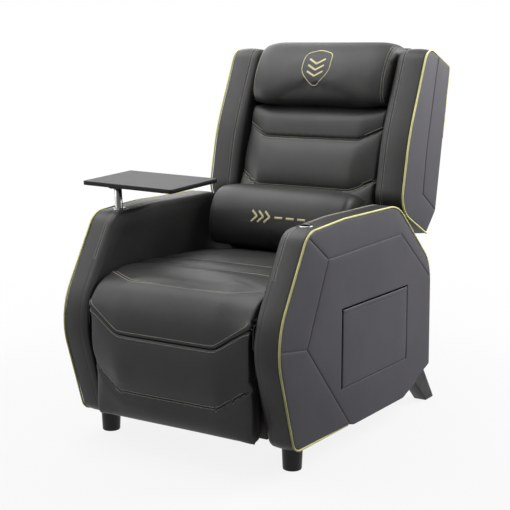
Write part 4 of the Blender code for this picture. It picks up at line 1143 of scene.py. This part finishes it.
def facet_heights(y, z, seam, falls, corners, edge, outer):
    """X of the faceted face: the lowest of the flat middle (X = outer) and one plane for each
    stretch of seam, which holds that stretch at outer and falls to edge at one corner of the
    outline. The lowest is taken softly: -k * log(sum(exp(-x / k))), k 0.5 mm."""
    heights = [np.full_like(y, outer)]
    for a, b, fall in zip(seam, seam[1:], falls):
        c = corners[fall, :2]
        plane = np.linalg.solve([[*a, 1], [*b, 1], [*c, 1]], [outer, outer, edge])
        heights.append(plane[0] * y + plane[1] * z + plane[2])
    heights = np.array(heights)
    low = heights.min(axis=0)
    return low - 0.5 * np.log(np.exp(-(heights - low) / 0.5).sum(axis=0))


def sewn_panel(name, side, corners, levels, seam, joins, sewn, falls, pocket=None):
    """A panel in two patches that share the seam: a strip of rungs from the seam to the outline,
    and the middle facet, drawn in from its border to its centre or to the pocket's cut edge.

    X = facets + 1.3 mm * (1 - exp(-d / 15)) - 1.5 mm * exp(-(s / 1.8)^2) - the rounded edge,
    where s is the distance to a seam and d that to a seam or to the outline. Below the arm, where
    no welt runs, the cover's edge is drawn 8 mm lower, and so 3 mm below the arm."""
    inner, edge, outer = levels
    ring = outline_rings(corners, [PANEL_INSET], step=7.0)[0]
    hang = np.clip((ring[:, 0] + 10) / 30, 0, 1) * np.clip((450 - ring[:, 0]) / 60, 0, 1)
    ring[:, 1] -= 8.0 * hang * (ring[:, 1] < 100)
    seam = np.array(seam, float)
    at = [int(np.argmin(np.linalg.norm(ring - target, axis=1))) for target in (seam[0], *joins, seam[-1])]
    ring = np.roll(ring, -at[0], axis=0)
    at = [(i - at[0]) % len(ring) for i in at]
    seam[0], seam[-1] = ring[0], ring[at[-1]]
    near_side, far_side = [], []
    for k, (a, b) in enumerate(zip(seam, seam[1:])):
        stretch = ring[at[k] : at[k + 1] + 1]
        share = stations(float(np.linalg.norm(b - a)), 8.0, k in sewn, k + 1 in sewn)
        near_side.append(a + (b - a) * share[:, None])
        run = np.concatenate([[0], np.cumsum(np.linalg.norm(np.diff(stretch, axis=0), axis=1))])
        far_side.append(np.stack([np.interp(share * run[-1], run, stretch[:, i]) for i in (0, 1)], axis=1))
    near_side = np.vstack([*near_side, seam[-1:]])
    far_side = np.vstack([*far_side, seam[-1:]])
    rungs = np.array([0, 0.016, 0.036, 0.06, 0.1, 0.17, 0.28, 0.42, 0.58, 0.72, 0.83, 0.91, 0.95, 0.98, 1.0])
    strip = near_side[None] * (1 - rungs)[:, None, None] + far_side[None] * rungs[:, None, None]
    border = np.vstack([near_side, ring[at[-1] + 1 :]])
    shares = np.array([0, 0.006, 0.014, 0.024, 0.04, 0.07, 0.12, 0.2, 0.32, 0.48, 0.66, 0.84, 1.0])
    if pocket is None:
        target = np.repeat(border.mean(axis=0)[None], len(border), axis=0)
    else:
        low, high = np.array(pocket, float)
        centre = (low + high) / 2
        arm = border - centre
        target = centre + arm * np.min((high - low) / 2 / np.maximum(np.abs(arm), 1e-6), axis=1)[:, None]
        for corner in ((low[0], low[1]), (low[0], high[1]), (high[0], high[1]), (high[0], low[1])):
            target[np.argmin(np.linalg.norm(target - corner, axis=1))] = corner
        shares = np.array([0, 0.012, 0.028, 0.05, 0.09, 0.16, 0.3, 0.5, 0.7, 0.84, 0.92, 0.96, 0.985, 1.0])
    middle = border[None] + (target - border)[None] * shares[:, None, None]
    cross = [np.array([seam[k], ring[at[k]]]) for k in sewn if 0 < k < len(seam) - 1]
    sewn_lines = [np.insert(line, 0, 0.0, axis=1) for line in [seam, *cross]]
    edge_line = [np.insert(np.vstack([ring, ring[:1]]), 0, 0.0, axis=1)]

    def lay(flat):
        """The cover's points over a grid of (y, z) places."""
        spots = np.insert(flat.reshape(-1, 2), 0, 0.0, axis=1)
        to_seam, to_edge = nearest_on(sewn_lines, spots)[0], nearest_on(edge_line, spots)[0]
        x = facet_heights(spots[:, 1], spots[:, 2], seam, falls, corners, edge, outer)
        x = x + 1.3 * (1 - np.exp(-np.minimum(to_seam, to_edge) / 15))
        x = x - 1.5 * np.exp(-((to_seam / 1.8) ** 2)) * (1 - np.exp(-to_edge / 3))
        t = 1 - np.minimum(to_edge, 3.5) / 3.5
        x = x - 2.0 * (1 - np.sqrt(1 - t**2 * 0.96))
        if pocket is not None:
            gap = np.maximum(low - spots[:, 1:], spots[:, 1:] - high).max(axis=1)
            x = x - 1.2 * np.exp(-np.maximum(gap, 0) / 1.0)
        return np.concatenate([x[:, None], spots[:, 1:]], axis=1).reshape(*flat.shape[:-1], 3)

    strip_points, middle_points = lay(strip), lay(middle)
    patches = [(strip_points, False), (middle_points, True)]
    rim_top = np.concatenate([strip_points[-1], middle_points[0, len(near_side) :]])
    levels_down = [rim_top * (1 - t) + np.insert(rim_top[:, 1:], 0, inner, axis=1) * t for t in (0, 0.5, 1.0)]
    hub = rim_top.mean(axis=0)
    hub[0] = inner
    base = [levels_down[-1] * (1 - t) + hub * t for t in (0, 0.5, 1.0)]
    patches += [(np.array(levels_down), True), (np.array(base), True)]
    if pocket is not None:
        lip = middle_points[-1]
        deeper = np.insert(lip[:, 1:], 0, outer - 6.7, axis=1)
        bed = deeper.mean(axis=0)
        recess = [lip, (lip + deeper) / 2, deeper, (deeper + bed) / 2, bed + 0 * deeper]
        patches.append((np.array(recess), True))
    points, faces, first = [], [], 0
    for patch, wraps in patches:
        patch = patch * (side, 1, 1)
        points.append(patch.reshape(-1, 3))
        faces.append(quads(len(patch), patch.shape[1], wrap_columns=wraps) + first)
        first += len(points[-1])
    panel = solid_object(name, np.vstack(points), np.vstack(faces), side_hide)
    # The recess's bed and walls take the near-black lining, which is partly painted shade in the gap.
    if pocket is not None:
        panel.data.materials.append(lining_and_shade)
        for face in panel.data.polygons:
            x, y, z = (np.array(face.center) - chair_origin) * 1000
            inside = np.all(np.abs([y, z] - centre) < (high - low) / 2 + 0.5)
            face.material_index = 1 if inside and outer - 7.5 < abs(x) < outer - 1.6 else 0
    surface_line = lay(near_side[None])[0] * (side, 1, 1)
    cross_lines = [lay(along_evenly(line, 30)[None])[0] * (side, 1, 1) for line in cross]
    return panel, [surface_line, *cross_lines]


DARK_TWIST = {"Scale": 700.0, "Detail": 2.0}
DARK_TONES = ((0.3, (0.020, 0.019, 0.022)), (0.7, (0.036, 0.034, 0.040)))
dark_thread = patterned("dark_thread", DARK_TWIST, DARK_TONES, Roughness=0.7)
# Pocket lining: near-black cloth, its darkness partly painted shade in the pocket's gap.
WEAVE = {"Scale": 1500.0, "Detail": 2.0}
LINING_AND_SHADE_TONES = ((0.3, 0.004), (0.7, 0.008))
lining_and_shade = patterned("pocket_lining_and_shade", WEAVE, LINING_AND_SHADE_TONES, Roughness=0.9, Specular_IOR_Level=0.1)
POCKET_CUT = ((-57.0, 180.0), (330.0, 398.0))
ARM_LEVELS = (343.3, 345.3, 352.3)
ARM_SEAM = [(-3, 67), (-234, 325), (-130, 541), (287, 552), (484, 396)]
ARM_JOINS = [(-355, 344), (-217, 602), (330, 600)]
WING_LEVELS = (331.6, 333.6, 337.6)
WING_SEAM = [(546, 588), (452, 647), (472, 778), (521, 978), (543, 1046)]
WING_JOINS = [(372, 618), (345, 778), (420, 985)]
ARM_SEWN, ARM_FALLS = [0, 1, 2, 4], [0, 1, 3, 4]
WING_SEWN, WING_FALLS = [0, 4], [1, 1, 2, 3]
for side, hand in SIDES:
    cut = POCKET_CUT if side > 0 else None
    panel, seams = sewn_panel(
        f"arm_side_{hand}", side, arm_corners, ARM_LEVELS, ARM_SEAM, ARM_JOINS, ARM_SEWN, ARM_FALLS, cut
    )
    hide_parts(f"side_panel_{hand}")
    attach(panel, "base")
    stitches(f"arm_side_stitches_{hand}", panel, seams, [3.0], dark_thread, "base", radius=0.4)
    panel, seams = sewn_panel(
        f"wing_side_{hand}", side, wing_corners, WING_LEVELS, WING_SEAM, WING_JOINS, WING_SEWN, WING_FALLS
    )
    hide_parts(f"wing_panel_{hand}")
    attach(panel, "back")
    stitches(f"wing_side_stitches_{hand}", panel, seams[:1], [3.0], dark_thread, "back", radius=0.4)

# Side pocket: a flat leather patch on the left panel, sewn down along its foot and its rear edge.
# Its front edge only curls in, so that a gap shows the lining, near-black as dark cloth and as painted
# shade in the gap, and its top is turned over into a hem. The opening above the hem is its mouth.
POCKET_LOW, POCKET_HIGH = (-49.5, 180.5), (328.6, 395.0)
POCKET_FACE = 352.9
HEM_LINE = 382.0
EDGE_STEPS = np.array([0, 0, 0.4, 1.2, 2.6, 6])
ys = [POCKET_LOW[0] + EDGE_STEPS, np.linspace(-40, 314, 46), POCKET_HIGH[0] - EDGE_STEPS[::-1]]
zs = [POCKET_LOW[1] + EDGE_STEPS, np.linspace(194, 374, 24), [379, 380.4, 381.2, 382, 382.8, 383.6]]
zs += [[386, 390, 392.2, 393.2, 393.6, 393.2, 388, 360]]
y, z = np.meshgrid(np.concatenate(ys), np.concatenate(zs))
from_side = np.minimum(np.minimum(y - POCKET_LOW[0], POCKET_HIGH[0] - y), z - POCKET_LOW[1])
t = 1 - np.clip(from_side, 0, 2.6) / 2.6
x = POCKET_FACE + 1.0 * (1 - np.exp(-from_side / 20)) - 2.6 * (1 - np.sqrt(1 - t**2 * 0.98))
x = x + 0.7 / (1 + np.exp(-(z - HEM_LINE) / 0.5)) - 0.9 * np.exp(-(((z - HEM_LINE) / 1.0) ** 2))
x = x + 0.5 * np.sin(y / 47 + 1.0) * np.sin((z - 180) / 62)
top = np.clip((z - 391) / 2.6, 0, 1)
x = x - 2.2 * (1 - np.sqrt(1 - top**2 * 0.98))
x[:, -1] = x[0] = 346.2
x[:, 0] = 350.2
x[-3], x[-2], x[-1] = 350.3, 349.4, 349.0
points = np.stack([x, y, z], axis=-1)
pocket = solid_object("side_pocket_patch", points.reshape(-1, 3), quads(*x.shape), side_hide, weld=0.001)
if sum(face.normal.x * face.area for face in pocket.data.polygons) < 0:
    pocket.data.flip_normals()
wall = pocket.modifiers.new("wall", "SOLIDIFY")
wall.thickness = 0.0018
wall.offset = -1.0
apply_modifiers(pocket)
pocket.data.shade_smooth()
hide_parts("side_pocket")
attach(pocket, "base")
hem = np.array([(354.6, y, HEM_LINE) for y in np.linspace(-50, 324, 60)])
stitches("pocket_hem_stitches", pocket, [hem], [0.0], dark_thread, "base", radius=0.4)

# Welts: a pale yellow cord sewn into the outer seam of each arm and wing, where the black cover
# meets the side panel. On the arms it stops under the chair and at the rear kink.
SOIL = {"Scale": 26.0, "Detail": 4.0, "Roughness": 0.6}
WELT_TONES = ((0.30, (0.70, 0.67, 0.25)), (0.60, (0.86, 0.84, 0.35)))
welt_yellow = patterned(
    "welt_yellow", SOIL, WELT_TONES, relief=(0.4, 0.0002), fine=1400.0, Roughness=0.42
)
WELT_RADIUS = 2.8
WELT_INSET = 1.5


def welt(name, path, x, body):
    """A cord along a path in a YZ plane at one X: a ring of 12 points carried along it, square to
    its run, that closes over the last 3 mm at each end as the root of 1 - t^2."""
    path = along_evenly(np.asarray(path, float), int(np.linalg.norm(np.diff(path, axis=0), axis=1).sum() / 3))
    ahead = np.gradient(path, axis=0)
    ahead /= np.linalg.norm(ahead, axis=1, keepdims=True)
    aside = np.stack([-ahead[:, 1], ahead[:, 0]], axis=1)
    run = np.arange(len(path)) * 3.0
    t = np.clip(1 - np.minimum(run, run[-1] - run) / 3.0, 0, 0.999)
    radius = WELT_RADIUS * np.sqrt(1 - t**2)
    angle = np.radians(np.arange(12) * 30)
    flat = path[:, None] + aside[:, None] * (np.cos(angle)[None, :, None] * radius[:, None, None])
    out = x + np.sin(angle)[None] * radius[:, None]
    points = np.concatenate([out[..., None], flat], axis=-1).reshape(-1, 3)
    cord = solid_object(name, points, capped(len(path), len(angle)), welt_yellow, weld=0.0001)
    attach(cord, body)
    return cord


for side, hand in SIDES:
    ring = outline_rings(arm_corners, [WELT_INSET], step=4.0)[0]
    last = int(np.max(np.nonzero(ring[:, 1] > 351)[0]))
    path = np.vstack([[(-3.0, ring[:, 1].min())], ring[: last + 1]])
    cord = welt(f"arm_welt_{hand}", path, side * (ARM_LEVELS[0] + WELT_RADIUS), "base")
    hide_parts(f"arm_piping_{hand}")
    ring = outline_rings(wing_corners, [WELT_INSET], step=4.0)[0]
    last = int(np.max(np.nonzero(ring[:, 1] > 801.5)[0]))
    cord = welt(f"wing_welt_{hand}", ring[: last + 1], side * (WING_LEVELS[0] + WELT_RADIUS), "back")
    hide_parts(f"wing_piping_{hand}")

# Rear panel: the outer back of the chair, a foam-backed leather panel on the board and its rails,
# turned forward over the top edge.
rear_outer = [
    ((503, 441), (503, 441)),
    ((512, 441.5), (512, 441.5)),
    ((518, 452), (518, 452)),
    ((540, 568), (539, 568)),
    ((568, 722), (566, 722)),
    ((596, 872), (594, 872)),
    ((614, 972), (613, 972)),
    ((621, 1014), (620, 1012)),
    ((616, 1036), (615, 1033)),
    ((598, 1054), (597, 1051)),
    ((576, 1068), (576, 1065)),
    ((565, 1071), (565, 1069)),
    ((559.5, 1060), (559.5, 1060)),
    ((559.5, 1046), (559.5, 1046)),
]
rear_inner = [
    ((503, 441), (503, 441)),
    ((493, 442), (493, 442)),
    ((500, 480), (500, 480)),
    ((545, 738), (545, 738)),
    ((592, 1004), (592, 1004)),
    ((590, 1020), (590, 1020)),
    ((559.5, 1046), (559.5, 1046)),
]
rear, _ = pad("rear_cover", side_hide, rear_outer, rear_inner, [], 239.0, 180.0, 8.0, 9.0)
refine(rear)
surface = surface_of(rear)
border = cut_corners([(-218, 470), (218, 470), (218, 1000), (-218, 1000)], 0.04)
border = along_evenly(np.vstack([border, border[:1]]), 260)
rear_line = np.array([laid_on(surface, x, z, 700.0)[0] for x, z in border])
sew(rear, [rear_line], 1.6, 2.4, gather=0.3)
slack(rear, 0.4, 70.0, seed=2.2)
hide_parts("rear_panel")
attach(rear, "back")
stitches("rear_cover_stitches", rear, [rear_line], [-4.0], dark_thread, "back", radius=0.4)

# Tray sockets: chromed steel sleeves with a rolled flange, pressed into the arm tops from above. The
# chrome's colour runs with the angle of view through light and dark bands: a painted reflection of
# the cards round a studio table that polished metal mirrors.
SMEAR = {"Scale": 30.0, "Detail": 4.0}
chrome = patterned("chrome", SMEAR, ((0.3, 0.16), (0.75, 0.28)), "Roughness", Metallic=1.0)
PAINTED_REFLECTION_PLACES = (0.0, 0.10, 0.22, 0.42, 0.55, 0.80, 1.0)
PAINTED_REFLECTION_TONES = (0.10, 0.13, 0.60, 0.50, 0.09, 0.12, 0.30)
tree = chrome.node_tree
# Painted reflection: the base colour follows the angle of view, on the sockets and on the post.
facing = add_node(tree, "LayerWeight", Blend=0.5)
painted_reflection = colour_ramp(tree, *zip(PAINTED_REFLECTION_PLACES, PAINTED_REFLECTION_TONES))
shader = tree.nodes["Principled BSDF"]
wire_up(tree, ((facing, "Facing"), (painted_reflection, 0)), ((painted_reflection, 0), (shader, "Base Color")))
SOCKET_PROFILE = [(0, -87), (11.3, -87), (11.3, 2.4), (11.7, 3.0), (12.4, 3.2), (15.5, 3.3), (17.6, 3.0)]
SOCKET_PROFILE += [(18.7, 2.2), (19.0, 1.2), (18.9, 0.3), (13.5, 0.3), (13.5, -90), (0, -90)]
# The bore inside each sleeve is drawn matt near-black: bare steel, darkened as painted shade deep in the
# hole.
BORE_MOTTLE = {"Scale": 60.0, "Detail": 4.0}
BORE_SHADE_TONES = ((0.3, (0.010, 0.010, 0.010)), (0.7, (0.022, 0.021, 0.020)))
bore_steel_and_shade = patterned("bore_steel_and_shade", BORE_MOTTLE, BORE_SHADE_TONES, Roughness=0.8, Specular_IOR_Level=0.1)
BORE_REACH = 0.0116
along = Vector((0.0, -math.sin(LEAN), math.cos(LEAN)))
for side, hand in SIDES:
    socket = turned_piece(f"socket_{hand}", SOCKET_PROFILE, chrome, side)
    socket.data.set_sharp_from_angle(angle=math.radians(50))
    socket.data.materials.append(bore_steel_and_shade)
    centre = Vector(in_metres(on_socket(side, (0.0, 0.0, 0.0))))
    # Faces of the bore take the near-black material, painted shade of the hole.
    for face in socket.data.polygons:
        across = face.center - centre
        across -= along * across.dot(along)
        face.material_index = 1 if across.length < BORE_REACH else 0
    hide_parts(f"tray_socket_{hand}")
    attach(socket, "base")

# Tray: a laminated board with a dark edge band on a chromed post. The post stands in a socket,
# turns there and lifts out. The flange under the board is drawn 26 mm in radius.
POST_PROFILE = [(0, 59.4), (10.4, 59.4), (11, 58.8), (11, -85.9), (10.2, -86.7), (0, -86.7)]
FLANGE_PROFILE = [(0, 62.7), (25.4, 62.7), (26, 62.4), (26, 61.4), (25, 60.9), (13, 60.7), (12, 59.9)]
FLANGE_PROFILE += [(0, 59.9)]
post = turned_piece("post", POST_PROFILE, chrome, -1)
post.data.set_sharp_from_angle(angle=math.radians(50))
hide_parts("tray_post")
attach(post, "post")
FLECK = {"Scale": 900.0, "Detail": 2.0}
BLACK_STEEL = (0.025, 0.025, 0.027, 1.0)
STEEL_GLOSS = ((0.3, 0.38), (0.7, 0.52))
black_steel = patterned(
    "black_steel", FLECK, STEEL_GLOSS, "Roughness", relief=(0.3, 0.0001), Base_Color=BLACK_STEEL
)
flange = turned_piece("flange", FLANGE_PROFILE, black_steel, -1)
flange.data.set_sharp_from_angle(angle=math.radians(50))
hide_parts("tray_flange")
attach(flange, "tray")

laminate, tree, shader = node_material("tray_laminate")
coords = add_node(tree, "TexCoord")
grain = add_node(tree, "TexNoise", Scale=1100.0, Detail=3.0, Roughness=0.7)
cloud = add_node(tree, "TexNoise", Scale=14.0, Detail=3.0)
tone = colour_ramp(tree, (0.30, (0.036, 0.036, 0.037)), (0.70, (0.052, 0.052, 0.053)))
mixed = add_node(tree, "Mix", data_type="FLOAT", Factor=0.45)
bump = add_node(tree, "Bump", Strength=0.5, Distance=0.0002)
wire_up(
    tree,
    ((coords, "Object"), (grain, "Vector")),
    ((coords, "Object"), (cloud, "Vector")),
    ((grain, "Fac"), (mixed, "A")),
    ((cloud, "Fac"), (mixed, "B")),
    ((mixed, "Result"), (tone, 0)),
    ((grain, "Fac"), (bump, "Height")),
    ((tone, 0), (shader, "Base Color")),
    ((bump, 0), (shader, "Normal")),
)
shader.inputs["Roughness"].default_value = 0.55
shader.inputs["Specular IOR Level"].default_value = 0.15
BAND_GRAIN = {"Scale": 500.0, "Detail": 2.0}
BAND_TONES = ((0.3, (0.005, 0.005, 0.006)), (0.7, (0.009, 0.009, 0.010)))
edge_band = patterned("tray_edge_band", BAND_GRAIN, BAND_TONES, Roughness=0.5, Specular_IOR_Level=0.15)
TRAY_TURN = math.radians(-4.8)
TRAY_CORNERS = [(-114.5, -24.0, 7.0), (-114.5, 174.0, 7.0), (220.5, 174.0, 7.0), (220.5, -24.0, 7.0)]
TRAY_SECTION = [(63.0, 4.0), (63.0, 1.6), (63.5, 0.5), (64.6, 0.0), (73.2, 0.0), (74.2, 0.35)]
TRAY_SECTION += [(74.8, 1.1), (75.0, 2.2), (75.0, 5.0)]
section = np.array(TRAY_SECTION)
rings = outline_rings(np.array(TRAY_CORNERS), section[:, 1], step=2.5)
heights = np.repeat(section[:, :1], rings.shape[1], axis=1)
x = rings[..., 0] * math.cos(TRAY_TURN) - rings[..., 1] * math.sin(TRAY_TURN)
y = rings[..., 0] * math.sin(TRAY_TURN) + rings[..., 1] * math.cos(TRAY_TURN)
points = on_socket(-1, np.stack([x, y, heights], axis=-1)).reshape(-1, 3)
tray = solid_object("tray_board", points, capped(*rings.shape[:2]), laminate, weld=0.0001)
tray.data.materials.append(edge_band)
for face in tray.data.polygons:
    face.material_index = 0 if face.normal.dot(along) > 0.93 else 1
tray.data.set_sharp_from_angle(angle=math.radians(40))
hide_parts("tray_top")
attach(tray, "tray")

# Legs: black moulded plastic, round and slightly tapered at the front, raked blocks behind, screwed
# into the arm boards from below.
LEG_BLACK = (0.008, 0.008, 0.0085, 1.0)
SCUFFS = {"Scale": 35.0, "Detail": 4.0}
LEG_GLOSS = ((0.3, 0.34), (0.7, 0.50))
leg_plastic = patterned(
    "leg_plastic", SCUFFS, LEG_GLOSS, "Roughness", relief=(0.35, 0.00015), fine=1300.0,
    Base_Color=LEG_BLACK, Specular_IOR_Level=0.25,
)
LEG_PROFILE = [(0, 65.7), (27.4, 65.7), (28, 65.1), (27.6, 60), (25.1, 4.5), (24.9, 2.6), (24.0, 0.9)]
LEG_PROFILE += [(22.4, 0.0), (0, 0.0)]
LEG_AT = (302.0, -221.0)
LEG_SIDES = 56
REAR_FOOT = np.array([(417.9, 98.3, 2.0), (490.8, 122.9, 2.0), (580.0, 0.0, 3.5), (526.0, 0.0, 3.5)])
REAR_SECTION = [(0.0, 8.0), (0.0, 2.5), (0.8, 0.8), (2.5, 0.0), (38.5, 0.0), (40.2, 0.8), (41.0, 2.5)]
REAR_SECTION += [(41.0, 8.0)]
REAR_INNER = 289.0
section = np.array(REAR_SECTION)
for side, hand in SIDES:
    points = (spun(LEG_PROFILE, LEG_SIDES) + (side * LEG_AT[0], LEG_AT[1], 0.0)).reshape(-1, 3)
    faces = quads(len(LEG_PROFILE), LEG_SIDES, wrap_columns=True)
    leg = solid_object(f"front_foot_{hand}", points, faces, leg_plastic)
    leg.data.set_sharp_from_angle(angle=math.radians(50))
    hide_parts(f"front_leg_{hand}")
    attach(leg, "base")
    rings = outline_rings(REAR_FOOT, section[:, 1], step=1.5)
    away = np.repeat(section[:, :1], rings.shape[1], axis=1)
    points = side_points(side, REAR_INNER, away, rings).reshape(-1, 3)
    leg = solid_object(f"rear_foot_{hand}", points, capped(*rings.shape[:2]), leg_plastic, weld=0.0001)
    leg.data.set_sharp_from_angle(angle=math.radians(45))
    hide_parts(f"rear_leg_{hand}")
    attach(leg, "base")

# Frame inside: plywood boards, hardwood rails, zinced steel links and pins, black steel tubes and
# rails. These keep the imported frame's own shapes, and only their finishes are made here. Wood is
# noise stretched along the board. The zinced parts are shown dark, because nothing bright shows in
# the photograph's gaps.
WOOD_GRAIN = {"Scale": 1.0, "Detail": 6.0, "Roughness": 0.65, "Distortion": 0.6}
PLY_TONES = ((0.30, (0.030, 0.025, 0.020)), (0.68, (0.060, 0.050, 0.040)))
RAIL_TONES = ((0.30, (0.020, 0.018, 0.017)), (0.68, (0.040, 0.036, 0.034)))
PORES = (0.3, 0.0003)
ALONG_BOARD = (160.0, 14.0, 160.0)
ALONG_RAIL = (12.0, 170.0, 170.0)
plywood = patterned("plywood", WOOD_GRAIN, PLY_TONES, relief=PORES, stretch=ALONG_BOARD, Roughness=0.7)
hardwood = patterned("hardwood", WOOD_GRAIN, RAIL_TONES, relief=PORES, stretch=ALONG_RAIL, Roughness=0.6)
# The zinced parts' near-black is partly a dull black finish and partly painted shade in their gaps.
ZINC_FINISH_AND_SHADE = (0.022, 0.022, 0.024, 1.0)
ZINC_GLOSS = ((0.1, 0.26), (0.8, 0.42))
zinc = patterned(
    "zinc_steel", {"Scale": 260.0}, ZINC_GLOSS, "Roughness", kind="TexVoronoi", out="Distance",
    Base_Color=ZINC_FINISH_AND_SHADE, Metallic=0.0, Specular_IOR_Level=0.12,
)
FINISHES = (
    (plywood, ("arm_board", "back_board", "footrest_board")),
    (hardwood, ("front_rail", "rear_rail", "back_rail")),
    (black_steel, ("seat_rail", "torque_tube")),
    (zinc, ("mechanism", "footrest_bracket", "footrest_pin", "back_pin", "back_bracket", "crank", "coupler")),
    (zinc, ("seat_spring",)),
)
for name, node in frame["nodes"].items():
    for material, beginnings in FINISHES:
        if name.startswith(beginnings):
            node.material_slots[0].material = material
